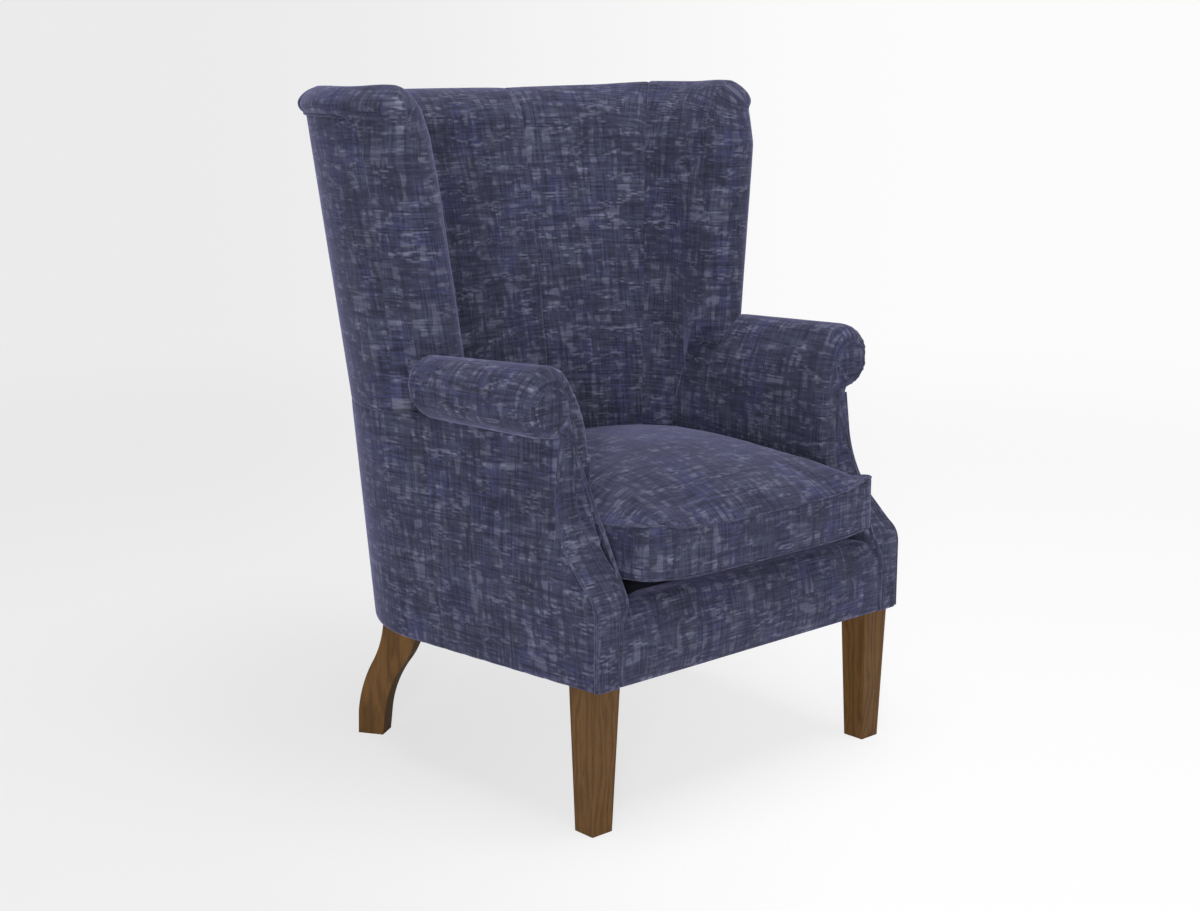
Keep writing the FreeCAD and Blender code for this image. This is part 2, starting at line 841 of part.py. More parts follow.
def arm_facing(grow=0.0):
    """Upholstered front of the arm, from the hem up to the round end of the scroll."""
    strip = facing_strip(grow)
    if grow == 0.0:
        body = side_wall(front_face_y - 10.0, 90.0, 0.0, 120.0, leg_height, arm_panel_top)
        strip = strip.common(body)
    outline = strip.fuse([facing_neck(grow), welt_disc(grow)])
    return outline.common(front_slice(-grow, facing_thickness + grow)).removeSplitter()


def roll_wire(y, share, grow=0.0):
    """Front view of the arm roll at one place: share 0 is its full size and 1 its round front end."""
    centre_x = scroll_x + scroll_splay * (y - arm_front_y)
    inner_x = arm_inner(y, arm_inner_level)

    def around(angle, radius):
        reach = mix(radius, welt_radius, share) + grow
        angle = math.radians(angle)
        return Vector(centre_x + reach * math.cos(angle), y, scroll_level + reach * math.sin(angle))

    drop = roll_rear_drop * (y - arm_front_y) / -arm_front_y
    soft = 12.0 * share
    bottom = arm_panel_top - 26.0
    low_in = Vector(inner_x + soft, y, bottom)
    flank = Vector(mix(inner_x + 9.5, centre_x - welt_radius - 12.0, share), y, scroll_level - 3.0)
    shoulder = around(124.0, roll_shoulder_radius - drop)
    crown = around(62.0, roll_top_radius - 0.7 * drop)
    side = around(4.0, roll_side_radius)
    turn_under = around(-45.0, roll_side_radius)
    under = around(-84.0, roll_under_radius)
    pad_out = Vector(inner_x + arm_pad_thickness, y, arm_panel_top + 2 * gap)
    low_out = Vector(inner_x + arm_pad_thickness, y, bottom)
    edges = [
        arc(low_in, flank, shoulder),
        arc(shoulder, crown, side),
        arc(side, turn_under, under),
        Part.makeLine(under, pad_out),
        Part.makeLine(pad_out, low_out),
        Part.makeLine(low_out, low_in),
    ]
    return Part.Wire(edges)


def arm_roll():
    wires = []
    start = arm_front_y + roll_rounding
    for angle in (80.0, 60.0, 30.0, 0.0):
        turned = math.radians(angle)
        share = 1.0 - math.cos(turned)
        wires.append(roll_wire(start - roll_rounding * math.sin(turned), share))
    round_front = loft(wires)
    length = loft([roll_wire(start, 0.0), roll_wire(110.0, 0.0)])
    return round_front.fuse(length)


def above_roll():
    """The space over the top of the arm roll, under the seam of the wing that comes down on it."""
    inner = arm_inner(arm_zone_top_y, arm_inner_level) + 6.0
    block = Part.makeBox(150.0, 90.0, 80.0, Vector(inner, arm_zone_top_y - 10.0, scroll_level + 10.0))
    return block.cut(loft([roll_wire(y, 0.0, gap) for y in (-120.0, 110.0)]))


def arm_slab():
    """Padding on the inside of the arm, from the seat up to the roll."""
    low = border_crest - 7.7
    knees = [low, deck_top, arm_inner_mid_level, arm_inner_level, arm_panel_top - 26.0]
    wires = []
    for y in (front_face_y, 110.0):
        inner = [Vector(arm_inner(y, max(level, deck_top)), y, level) for level in knees]
        outer = [point + Vector(arm_pad_thickness, 0, 0) for point in reversed(inner)]
        wires.append(closed(inner + outer))
    return loft(wires)


def inside_arm():
    slab = arm_slab().common(behind_front(2 * gap, 120.0))
    pad = slab.fuse(arm_roll())
    pad = pad.common(arm_zone(-gap))
    pad = pad.cut(arm_facing(gap))
    for timber in (front_post(gap), arm_rail(gap), wing_post(gap)):
        pad = pad.cut(timber)
    return largest(pad)


def largest(shape):
    """The main solid of a cut, without slivers."""
    return max(shape.Solids, key=lambda solid: solid.Volume)


# Inside back
def channel_wire(turn, valley):
    """Upright section of the inside back: padding, rounded rim and its overhang outside."""
    share = (turn / wing_seam_turn) ** 2
    inside = wall_depth - valley
    bulge = lumbar_depth
    back = back_padding_depth()
    foot_level = deck_top + gap
    rim = rim_level(turn) - 0.45 * valley
    seat = rim_underside + gap
    outline = [
        (back, foot_level),
        (inside + bulge, foot_level),
        (inside + bulge * 0.85, mix(foot_level, rim_underside, 0.4)),
        (inside, rim - mix(67.0, 129.0, share)),
        (inside - mix(13.0, 24.0, share), rim - mix(14.0, 36.0, share)),
        (mix(45.0, 30.0, share), rim),
        (7.0, rim - 5.5),
        (-rim_overhang, rim - 18.5),
        (-rim_overhang * 0.75, seat + 3.0),
        (0.0, seat),
        (back, seat),
        (back, arm_panel_top),
    ]
    points = [seam_point(turn, level, depth) for depth, level in outline]
    edges = [
        Part.makeLine(points[0], points[1]),
        arc(points[1], points[2], points[3]),
        arc(points[3], points[4], points[5]),
        arc(points[5], points[6], points[7]),
        arc(points[7], points[8], points[9]),
        Part.makeLine(points[9], points[10]),
        Part.makeLine(points[10], points[11]),
        Part.makeLine(points[11], points[0]),
    ]
    return Part.Wire(edges)


def channel(first, last, steps):
    """One upholstered channel of the inside back, crowned between its two seams."""
    wires = []
    for step in range(steps + 1):
        share = step / steps
        valley = channel_valley * (2 * share - 1) ** 4
        wires.append(channel_wire(mix(first, last, share), valley))
    return loft(wires)


def inside_back_centre():
    edge = centre_seam_turn - 0.03
    return channel(-edge, edge, 8)


def inside_back_side():
    return channel(centre_seam_turn + 0.03, wing_seam_turn - 0.06, 8).cut(wing_rail(gap))


def outside_back():
    edge = outside_seam_turn - 0.1
    return band(-edge, edge, 0.0, panel_thickness, leg_height, rim_underside)


# Wings
def wing_wire(level, outer, inner):
    """Plan of the wing at one level, with its outside and inside moved in by two amounts."""
    axis = wing_axis(level)
    depth = wall_depth - inner
    radius = wing_roll_radius - (inner + outer) / 2
    centre_x = axis.x + (inner - outer) / 2
    seam = wing_seam_turn + 0.06
    inside = [seam_point(seam, level, depth), barrel(90.0, level, depth)]
    outside = [barrel(90.0, level, outer), seam_point(seam, level, outer)]

    def roll(angle):
        angle = math.radians(angle)
        return Vector(centre_x + radius * math.cos(angle), axis.y + radius * math.sin(angle), level)

    points = [roll(165.0), roll(215.0), roll(270.0), roll(322.0), roll(10.0)]
    bend = (points[-1] + outside[0]) * 0.5 + Vector(3.0, -1.0, 0)
    edges = [
        arc(inside[0], wall_middle(inside[0], inside[1], level, depth), inside[1]),
        Part.makeLine(inside[1], points[0]),
        arc(points[0], points[1], points[2]),
        arc(points[2], points[3], points[4]),
        arc(points[4], bend, outside[0]),
        arc(outside[0], wall_middle(outside[0], outside[1], level, outer), outside[1]),
        Part.makeLine(outside[1], inside[0]),
    ]
    return Part.Wire(edges)


def wing_rounding(level):
    """How far the inside of the wing has curved back towards the rounded rim."""
    share = max(0.0, (level - wing_round_start) / (overall_height() - wing_round_start))
    return wing_round_reach * (1.0 - math.sqrt(max(0.0, 1.0 - share ** 2)))


def wing_body(outer, inner, low, high, rounded):
    bends = [arm_panel_top, wing_base_level, wing_round_start, wing_shoulder_level, rim_underside - 28.0]
    levels = [low] + [level for level in bends if low < level < high] + [high]
    return loft([wing_wire(level, outer, inner + rounded * wing_rounding(level)) for level in levels])


def wing_rim():
    """Rounded top of the wing, which overhangs the outside panel."""
    rise = overall_height() - rim_underside
    outsides = [(0.0, 0.06), (0.1, -0.75), (0.3, -1.0), (0.55, -0.5), (0.75, 0.5), (0.9, 1.6), (0.975, 2.3)]
    wires = []
    for share, outside in outsides:
        level = rim_underside + gap + share * (rise - gap)
        wires.append(wing_wire(level, outside * rim_overhang, wing_rounding(level)))
    return loft(wires)


def wing_panel_zone(grow, high):
    """Everything outside and behind the seam where the wing's roll meets the outside panel."""
    low = arm_panel_top - 5.0
    front = [
        (-21.0, low),
        (-4.0, wing_base_level),
        (38.0, rim_underside - 130.0),
        (46.0, rim_underside - 42.0),
        (64.0, rim_underside - 18.0),
        (88.0, rim_underside),
    ]
    points = [Vector(cut_start_x, y - grow, level) for y, level in front]
    points.append(Vector(cut_start_x, points[-1].y, high + 5.0))
    points += [Vector(cut_start_x, cut_end_y, high + 5.0), Vector(cut_start_x, cut_end_y, low)]
    return extruded(closed(points), Vector(rim_half_width, 0, 0))


def outside_wing_front(grow, high):
    """The part of the outside wing panel that follows the roll, out to its front seam."""
    low = arm_panel_top + gap - grow
    shell = wing_body(-grow, -10.0, low - 1.0, high + 1.0, 0)
    shell = shell.cut(wing_body(panel_thickness + grow, -30.0, low - 3.0, high + 3.0, 0))
    box = Part.makeBox(rim_half_width, 2 * cut_end_y, high - low, Vector(cut_start_x, front_face_y, low))
    return largest(shell.common(box).common(wing_panel_zone(grow, high)))


def outside_wing():
    low = arm_panel_top + gap
    joint_turn = upright_turn + 28.0
    front = outside_wing_front(0.0, rim_underside).cut(arm_zone(0.0))
    front = largest(front.cut(band(corner_turn, joint_turn, -5.0, 2 * panel_thickness, low, rim_underside)))
    rear = band(outside_seam_turn + 0.1, joint_turn, 0.0, panel_thickness, low, rim_underside)
    return front.fuse(rear).cut(arm_rail(gap))


def inside_wing():
    """Wing padding, cut to its outside panel and to the frame inside it before its rim is added."""
    high = overall_height()
    pad = wing_body(0.0, 0.0, deck_top + gap, rim_underside + gap, 1)
    pad = pad.cut(outside_wing_front(gap, high))
    frame_end = upright_turn + 10.8
    covered = panel_thickness + gap
    pad = pad.cut(side_wall(arm_front_y, frame_end - 1.0, -1.0, covered, leg_height, arm_panel_top))
    pad = pad.cut(band(frame_end - 1.0, 89.0, -1.0, covered, arm_panel_top - 1.0, high))
    pad = pad.cut(band(corner_turn, frame_end, -1.0, back_padding_depth(), leg_height, high))
    for timber in (arm_rail(gap), wing_post(gap), wing_rail(gap)):
        pad = pad.cut(timber)
    pad = largest(pad.cut(arm_zone(0.0).cut(above_roll())))
    return pad.fuse(wing_rim())


# Seat cushion
def cushion_wire(y, half_width, crown):
    """Front view of the cushion at one place: crowned top, boxing between two seams, flatter underside."""
    low = cushion_seam_low
    high = cushion_seam_low + cushion_height
    bulge = min(2.0, cushion_clearance)
    under = min(crown / cushion_crown, 1.0) * (low - deck_top - gap)
    shoulder = half_width * 0.7

    def place(x, level):
        return Vector(x, y, level)

    edges = [
        arc(place(-half_width, high), place(-half_width * 0.92, high + 0.4 * crown),
            place(-shoulder, high + 0.74 * crown)),
        arc(place(-shoulder, high + 0.74 * crown), place(0, high + crown), place(shoulder, high + 0.74 * crown)),
        arc(place(shoulder, high + 0.74 * crown), place(half_width * 0.92, high + 0.4 * crown),
            place(half_width, high)),
        arc(place(half_width, high), place(half_width + bulge * 0.5, (low + high) / 2), place(half_width, low)),
        Part.makeLine(place(half_width, low), place(shoulder, low - under)),
        Part.makeLine(place(shoulder, low - under), place(-shoulder, low - under)),
        Part.makeLine(place(-shoulder, low - under), place(-half_width, low)),
        arc(place(-half_width, low), place(-half_width - bulge * 0.5, (low + high) / 2), place(-half_width, high)),
    ]
    return Part.Wire(edges)


def cushion_back_depth():
    return wall_depth + lumbar_depth + cushion_back_clearance


def cushion_back_y():
    """Where the inside back would stop the cushion, in the middle."""
    centre, radius = wall_circle(0.0, cushion_seam_low)
    return centre.y + radius - cushion_back_depth()


def cushion_back_half(y):
    """Half width of the cushion where it follows the curve of the inside back."""
    depth = cushion_back_depth()
    centre, radius = wall_circle(90.0, cushion_seam_low)
    if y - centre.y < (radius - depth) * math.cos(math.radians(corner_turn)):
        return centre.x + math.sqrt((radius - depth) ** 2 - (y - centre.y) ** 2)
    centre, radius = wall_circle(0.0, cushion_seam_low)
    return math.sqrt((radius - depth) ** 2 - (y - centre.y) ** 2)


def seat_cushion():
    front = cushion_front_y
    stations = []
    for reach, corner in ((0.0, 32.0), (4.0, 16.0), (13.0, 5.0), (34.0, 0.0)):
        y = front + reach
        rise = mix(0.06, 0.5, reach / 34.0)
        stations.append((y, arm_inner(y, arm_inner_level) - corner + 5.0, rise * cushion_crown))
    waist = 1.5
    for y, rise in ((arm_front_y - 28.0, 0.76), (-190.0, 0.97), (-110.0, 1.0), (0.0, 0.86)):
        half = arm_inner(y, arm_inner_level) - cushion_clearance - (waist if y > arm_front_y else 0.0)
        stations.append((y, half, rise * cushion_crown))
    for short, rise in ((84.4, 0.6), (46.4, 0.42), (22.4, 0.24), (8.4, 0.06)):
        y = cushion_back_y() - short
        stations.append((y, cushion_back_half(y), rise * cushion_crown))
    return loft([cushion_wire(*station) for station in stations])


def both(name, shape, store):
    """Adds a piece of the sitter's left side and its mirrored twin on the right."""
    store[name + "_left"] = shape
    store[name + "_right"] = mirrored(shape)


def build():
    pieces = {}
    both("front_leg", front_leg(), pieces)
    both("rear_leg", rear_leg(), pieces)
    pieces["leg_bolts"] = leg_bolts()
    pieces["dust_cover"] = dust_cover()
    pieces["front_rail"] = front_rail()
    pieces["back_rail"] = back_rail()
    both("side_rail", side_rail(), pieces)
    both("front_corner_block", bored(front_block()), pieces)
    both("rear_corner_block", bored(rear_block()), pieces)
    both("arm_post", front_post(), pieces)
    both("arm_rail", arm_rail(), pieces)
    both("back_upright", upright(), pieces)
    pieces["crest_rail"] = crest_rail()
    pieces["stay_rail"] = stay_rail()
    both("wing_post", wing_post(), pieces)
    both("wing_rail", wing_rail(), pieces)
    pieces["back_webbing"] = back_webbing()
    pieces["seat_springs"] = seat_springs()
    pieces["spring_clips"] = spring_clips()
    pieces["seat_deck"] = seat_deck()
    pieces["front_border"] = front_border()
    both("outside_arm", outside_arm(), pieces)
    both("arm_facing", arm_facing(), pieces)
    both("inside_arm", inside_arm(), pieces)
    pieces["inside_back_centre"] = inside_back_centre()
    both("inside_back_side", inside_back_side(), pieces)
    pieces["outside_back"] = outside_back()
    both("outside_wing", outside_wing(), pieces)
    both("inside_wing", inside_wing(), pieces)
    pieces["seat_cushion"] = seat_cushion()
    return pieces


def bored(block):
    for x, y in bolt_places():
        block = block.cut(bolt_hole(x, y))
    return block


def main():
    os.makedirs("parts", exist_ok=True)
    pieces = build()
    whole = FreeCAD.BoundBox()
    for shape in pieces.values():
        whole.add(shape.BoundBox)
    shift = Vector(0, -(whole.YMin + whole.YMax) / 2, 0)
    for name, shape in pieces.items():
        shape.translate(shift)
        shape.exportStep("parts/" + name + ".step")
        print(name, len(shape.Solids), "solids", round(shape.Volume / 1000.0, 1), "cm3", shape.isValid())
    print("moved in Y by", round(shift.y, 3), "size", whole.XLength, whole.YLength, whole.ZLength)


main()
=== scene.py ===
# %% [markdown]
# # Dressing a wing armchair
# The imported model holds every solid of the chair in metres: timber, springs, padding and legs.
# It is loaded as it stands at rest, so each new piece is made where its solid is.

import math

import bmesh
import bpy
import numpy as np
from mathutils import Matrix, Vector
from mathutils.bvhtree import BVHTree


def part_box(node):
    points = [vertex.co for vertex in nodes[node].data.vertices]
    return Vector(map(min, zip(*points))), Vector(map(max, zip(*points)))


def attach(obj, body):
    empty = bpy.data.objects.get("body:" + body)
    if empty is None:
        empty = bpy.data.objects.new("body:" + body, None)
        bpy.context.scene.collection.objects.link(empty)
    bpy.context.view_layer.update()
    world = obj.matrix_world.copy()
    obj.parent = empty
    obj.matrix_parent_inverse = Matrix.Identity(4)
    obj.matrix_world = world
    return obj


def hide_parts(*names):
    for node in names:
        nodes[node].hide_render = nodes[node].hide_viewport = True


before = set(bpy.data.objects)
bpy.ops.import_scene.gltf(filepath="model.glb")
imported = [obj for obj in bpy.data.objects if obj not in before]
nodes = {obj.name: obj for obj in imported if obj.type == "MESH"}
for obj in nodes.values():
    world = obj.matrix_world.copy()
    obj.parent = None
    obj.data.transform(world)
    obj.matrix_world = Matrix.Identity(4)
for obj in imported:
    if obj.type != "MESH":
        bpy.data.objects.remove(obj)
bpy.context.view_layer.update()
collection = bpy.context.scene.collection

# %% [markdown]
# ## Camera and light
# The camera stands where the photograph was taken from, a little over a metre up and to the sitter's right.
# The room is a pale studio. A weak sky of one tone reaches all sides, a broad lamp overhead gives the
# lighter tops, and a broad lamp far behind the camera lights the faces that the camera sees.

# %% Camera
camera_place = (-1.9776, -2.21426, 1.0804)
view_direction = Vector((0.65711, 0.72444, -0.20831))
level_view = (0.6718, 0.7407, 0.0)
view_right = (0.7407, -0.6718, 0.0)
sensor_width = 36.0
lens_length = 56.985

scene = bpy.context.scene
scene.view_settings.view_transform = "Standard"
camera_data = bpy.data.cameras.new("portrait_camera")
camera_data.sensor_width = sensor_width
camera_data.lens = lens_length
camera = bpy.data.objects.new("portrait_camera", camera_data)
collection.objects.link(camera)
camera.location = camera_place
camera.rotation_euler = view_direction.to_track_quat("-Z", "Y").to_euler()
scene.camera = camera
print("camera at", tuple(round(value, 3) for value in camera.location))

# %% Soft lamps
def soft_lamp(name, place, target, size, power):
    """A square lamp that faces a target."""
    data = bpy.data.lights.new(name, "AREA")
    data.size = size
    data.energy = power
    lamp = bpy.data.objects.new(name, data)
    collection.objects.link(lamp)
    lamp.location = place
    lamp.rotation_euler = (Vector(target) - Vector(place)).to_track_quat("-Z", "Y").to_euler()


chair_middle = (0.0, 0.0, 0.6)
lamp_size = 3.0
overhead_place = (0.0, -0.8, 4.6)
overhead_power = 150.0
camera_lamp_place = (-7.4, -7.1, 2.4)
camera_lamp_power = 700.0
soft_lamp("overhead_lamp", overhead_place, chair_middle, lamp_size, overhead_power)
soft_lamp("camera_lamp", camera_lamp_place, chair_middle, lamp_size, camera_lamp_power)
print("two soft lamps")

# %% [markdown]
# ## A short way to write materials
# A material is a graph of small nodes. Written out one by one the nodes hide the idea behind them,
# so three small classes carry them here. A Value is a number that changes over the surface, and plain
# sums with it add the Math nodes. A Graph adds any other node. A Finish is the graph of one material.

# %% Values and graphs
millimetres = 1000.0


class Value:
    """A number on a surface, which plain arithmetic turns into Math nodes."""

    def __init__(self, graph, socket):
        self.graph = graph
        self.socket = socket

    def __add__(self, other):
        return self.graph.math("ADD", self, other)

    def __sub__(self, other):
        return self.graph.math("SUBTRACT", self, other)

    def __rsub__(self, other):
        return self.graph.math("SUBTRACT", other, self)

    def __mul__(self, other):
        return self.graph.math("MULTIPLY", self, other)

    def __truediv__(self, other):
        return self.graph.math("DIVIDE", self, other)

    __radd__ = __add__
    __rmul__ = __mul__


class Graph:
    """A tree of nodes, with short ways to add those that are used most."""

    def __init__(self, tree):
        self.tree = tree

    def add(self, kind, settings, sockets):
        """Any node: its settings are set first, then the values or links of its sockets."""
        node = self.tree.nodes.new(kind)
        for name, value in settings.items():
            setattr(node, name, value)
        for name, value in sockets.items():
            self.feed(node.inputs[name], value)
        return node

    def feed(self, socket, value):
        if isinstance(value, Value):
            self.tree.links.new(value.socket, socket)
        elif isinstance(value, bpy.types.NodeSocket):
            self.tree.links.new(value, socket)
        else:
            socket.default_value = value

    def math(self, operation, first, second):
        node = self.add("ShaderNodeMath", {"operation": operation}, {0: first, 1: second})
        return Value(self, node.outputs[0])

    def one(self, operation, value):
        node = self.add("ShaderNodeMath", {"operation": operation}, {0: value})
        return Value(self, node.outputs[0])

    def rise(self, value, low, high):
        """0 below low, 1 above high, and a smooth step between them."""
        sockets = {"Value": value, "From Min": low, "From Max": high}
        node = self.add("ShaderNodeMapRange", {"interpolation_type": "SMOOTHSTEP"}, sockets)
        return Value(self, node.outputs[0])

    def vector(self, x, y, z=0.0):
        return self.add("ShaderNodeCombineXYZ", {}, {"X": x, "Y": y, "Z": z}).outputs[0]

    def noise(self, vector, detail=2.0, roughness=0.5, space="2D"):
        sockets = {"Vector": vector, "Scale": 1.0, "Detail": detail, "Roughness": roughness}
        node = self.add("ShaderNodeTexNoise", {"noise_dimensions": space}, sockets)
        return Value(self, node.outputs[0])

    def blend(self, share, first, second):
        """One colour into another."""
        settings = {"data_type": "RGBA", "clamp_factor": True}
        return self.add("ShaderNodeMix", settings, {0: share, 6: first, 7: second}).outputs[2]

    def place(self):
        """Where a point lies, in metres."""
        return self.add("ShaderNodeTexCoord", {}, {}).outputs["Object"]

    def scaled(self, vector, scale):
        return self.add("ShaderNodeMapping", {}, {"Vector": vector, "Scale": scale}).outputs[0]

    def split(self, vector, scale):
        """The three parts of a vector as values, each times a scale."""
        parts = self.add("ShaderNodeSeparateXYZ", {}, {"Vector": vector}).outputs
        return [Value(self, part) * scale for part in parts]

    def direction(self, vector, way):
        """How far a vector reaches in one direction."""
        node = self.add("ShaderNodeVectorMath", {"operation": "DOT_PRODUCT"}, {0: vector, 1: way})
        return Value(self, node.outputs[1])

    def camera_ray(self):
        return Value(self, self.add("ShaderNodeLightPath", {}, {}).outputs["Is Camera Ray"])

    def show_mixed(self, share, first, second, end):
        """Sends a mix of two shaders to the end of the graph."""
        mixed = self.add("ShaderNodeMixShader", {}, {0: share, 1: first, 2: second})
        self.feed(self.tree.nodes[end].inputs["Surface"], mixed.outputs[0])


class Finish(Graph):
    """The graph of a material, with the shader's own sockets for what is the same all over."""

    def __init__(self, name):
        self.material = bpy.data.materials.new(name)
        self.material.use_nodes = True
        super().__init__(self.material.node_tree)
        self.shader = self.tree.nodes["Principled BSDF"]

    def bump(self, height, distance, strength=1.0):
        """Raises the surface by a share of a distance in metres."""
        sockets = {"Height": height, "Distance": distance, "Strength": strength}
        self.feed(self.shader.inputs["Normal"], self.add("ShaderNodeBump", {}, sockets).outputs[0])

    def colour(self, value):
        self.feed(self.shader.inputs["Base Color"], value)

    def set(self, **sockets):
        """Values that are the same all over the surface."""
        for name, value in sockets.items():
            self.shader.inputs[name.replace("_", " ")].default_value = value


def shade(red, green, blue):
    """A colour written as on a paint chart, 0 to 255, as the linear values that the shader reads."""
    linear = []
    for part in (red, green, blue):
        part = part / 255.0
        linear.append(part / 12.92 if part <= 0.04045 else ((part + 0.055) / 1.055) ** 2.4)
    return (*linear, 1.0)


print("short ways to write materials ready")

# %% [markdown]
# ## The cover cloth
# The cover is a navy slub weave. Its yarns are uneven, so fine dark and light threads cross, and where
# a yarn thickens it shows as a pale dash. Paler bars and patches come from thick warp yarns.
# An image could show this, but a rule in nodes stays sharp at any size. The weave follows the cloth,
# so it reads lengths along and up each panel from the panel's own map, in millimetres.

# %% Slub weave
def slub_weave():
    cloth = Finish("slub_weave")
    lengths = cloth.add("ShaderNodeUVMap", {"uv_map": "cloth_map"}, {}).outputs[0]
    across, along = cloth.split(lengths, millimetres)[:2]

    def spread(width, length, shift, detail=2.0):
        """Soft patches of one size, in millimetres."""
        return cloth.noise(cloth.vector(across / width + shift, along / length + shift * 0.37), detail)

    def yarns(way, over, pitch, length, shift):
        """Yarns side by side at one pitch, each thick and thin along its own length."""
        number = cloth.one("FLOOR", over / pitch)
        return cloth.noise(cloth.vector(way / length + shift, number * 3.7 + shift), 1.0)

    weft = yarns(across, along, 2.4, 60.0, 3.0)
    warp = yarns(along, across, 2.4, 70.0, 11.0)
    threads = (warp + weft) * 2.0 - 1.5
    dashes = cloth.rise(yarns(across, along, 3.0, 15.0, 23.0), 0.45, 0.68)
    rows = cloth.rise(spread(46.0, 20.0, 5.0), 0.50, 0.66)
    columns = cloth.rise(spread(13.0, 62.0, 17.0, 1.0), 0.50, 0.60)
    bands = cloth.rise(spread(56.0, 13.0, 41.0, 1.0), 0.50, 0.60)
    marks = dashes * (rows * 0.75 + 0.1) + columns * 0.12 + bands * 0.1 + columns * bands * 0.5
    pale = marks * (weft * 1.5 + 0.1)
    zones = cloth.rise(spread(90.0, 70.0, 53.0), 0.36, 0.64)
    violet = cloth.rise(spread(80.0, 120.0, 61.0), 0.45, 0.68)

    ground = cloth.blend(zones, shade(53, 54, 74), shade(63, 65, 85))
    ground = cloth.blend(violet * 0.6, ground, shade(60, 60, 100))
    woven = cloth.blend(threads, shade(39, 40, 56), ground)
    cloth.colour(cloth.blend(pale * 0.6, woven, shade(112, 113, 134)))
    cloth.feed(cloth.shader.inputs["Roughness"], 0.95 - pale * 0.12)
    cloth.bump(threads * 0.7 + pale * 0.4, 0.0006, 0.6)
    cloth.set(Sheen_Weight=0.30, Sheen_Roughness=0.42, Sheen_Tint=shade(200, 198, 255),
              Specular_IOR_Level=0.2)
    return cloth.material


weave = slub_weave()
print("cover cloth made with", len(weave.node_tree.nodes), "nodes")

# %% [markdown]
# ## Wood, steel and the hidden cloths
# The legs are oak with a brown stain: long fine pores and slow figure along the grain. The frame inside
# is plain pale timber. Both come from one rule with other colours, which stretches noise along the wood.
# It reads a point's own place, so it needs no map, and end grain comes out right.

# %% Wood
def wood(name, dark, middle, light, pore_depth, gloss):
    """Timber with its grain upright: slow figure, and fine pores that darken and dent it."""
    timber = Finish(name)
    x, y, z = timber.split(timber.place(), millimetres)
    drift = timber.noise(timber.vector(x / 26.0, y / 26.0, z / 150.0), 2.0, 0.5, "3D")
    rings = timber.one("SINE", (x * 0.55 + y * 0.4) + drift * 24.0 + z * 0.012) * 0.5 + 0.5
    pores = timber.noise(timber.vector(x / 0.9, y / 0.9, z / 24.0), 2.0, 0.6, "3D")
    streaks = timber.noise(timber.vector(x / 5.0, y / 5.0, z / 120.0), 3.0, 0.6, "3D")
    figure = timber.rise(rings * 0.4 + streaks * 0.9, 0.3, 1.0)
    body = timber.blend(figure, dark, light)
    body = timber.blend(0.45, body, middle)
    pits = timber.rise(pores, 0.56, 0.7)
    timber.colour(timber.blend(pits * 0.5, body, dark))
    timber.feed(timber.shader.inputs["Roughness"], pits * 0.2 + gloss)
    timber.bump(1.0 - pits, pore_depth, 0.5)
    timber.set(Specular_IOR_Level=0.2)
    return timber.material


leg_oak = wood("leg_oak", shade(69, 46, 22), shade(95, 66, 34), shade(110, 78, 40), 0.0003, 0.5)
pale_timber = wood("frame_timber", shade(168, 132, 88), shade(202, 170, 124), shade(216, 188, 146),
                   0.0002, 0.6)
print("two woods made")

# %% Metal and hidden cloths
def metal(name, colour, scratches, rough):
    """Bare or painted metal with fine drawn lines and duller spots."""
    sheet = Finish(name)
    place = sheet.place()
    lines = sheet.noise(sheet.scaled(place, (900.0, 120.0, 900.0)), 2.0, 0.6, "3D")
    spots = sheet.noise(sheet.scaled(place, (60.0, 60.0, 60.0)), 3.0, 0.6, "3D")
    dull = tuple(0.7 * part for part in colour[:3]) + (1.0,)
    sheet.colour(sheet.blend(sheet.rise(spots, 0.45, 0.7), colour, dull))
    sheet.feed(sheet.shader.inputs["Roughness"], lines * scratches + rough)
    sheet.bump(lines, 0.0001, 0.3)
    sheet.set(Metallic=1.0)
    return sheet.material


def plain_cloth(name, dark, light, pitch):
    """Coarse plain weave on object coordinates: two crossing sets of yarns of one pitch in millimetres."""
    cloth = Finish(name)
    place = cloth.place()
    waves = 2.0 * math.pi * millimetres / pitch
    sides = [cloth.one("SINE", part) for part in cloth.split(place, waves)]
    weave_height = (sides[0] * sides[1] + sides[1] * sides[2] + sides[0] * sides[2]) * 0.25 + 0.5
    worn = cloth.noise(cloth.scaled(place, (30.0, 30.0, 30.0)), 3.0, 0.6, "3D")
    cloth.colour(cloth.blend(weave_height * 0.6 + worn * 0.5, dark, light))
    cloth.feed(cloth.shader.inputs["Roughness"], 0.8 + worn * 0.15)
    cloth.bump(weave_height, 0.0004, 0.6)
    return cloth.material


zinc = metal("zinc_steel", shade(176, 178, 180), 0.2, 0.28)
clip_steel = metal("clip_steel", shade(150, 148, 142), 0.2, 0.35)
spring_steel = metal("spring_steel", shade(52, 52, 56), 0.15, 0.4)
# The deck cloth is dark in its own right, and is also kept this dark as painted shade, so that the gap under
# the cushion's front corners reads dark.
deck_cloth = plain_cloth("deck_cloth", shade(38, 39, 52), shade(60, 61, 80), 1.6)
black_cloth = plain_cloth("black_cloth", shade(20, 20, 22), shade(38, 38, 41), 1.2)
webbing = plain_cloth("webbing", shade(120, 96, 64), shade(176, 150, 110), 3.0)
print("metals and hidden cloths made")

# %% [markdown]
# ## Where a point lies on the cloth
# A weave that ignores the shape would slide over the curves. Each panel therefore gets a map in metres:
# how far along the panel a point is, and how far up. The body is a wall that curves round the back
# in three arcs and leans outwards, so its map measures the arc. The wing rolls round its own axis,
# and the arm round another, so their maps go on round these.

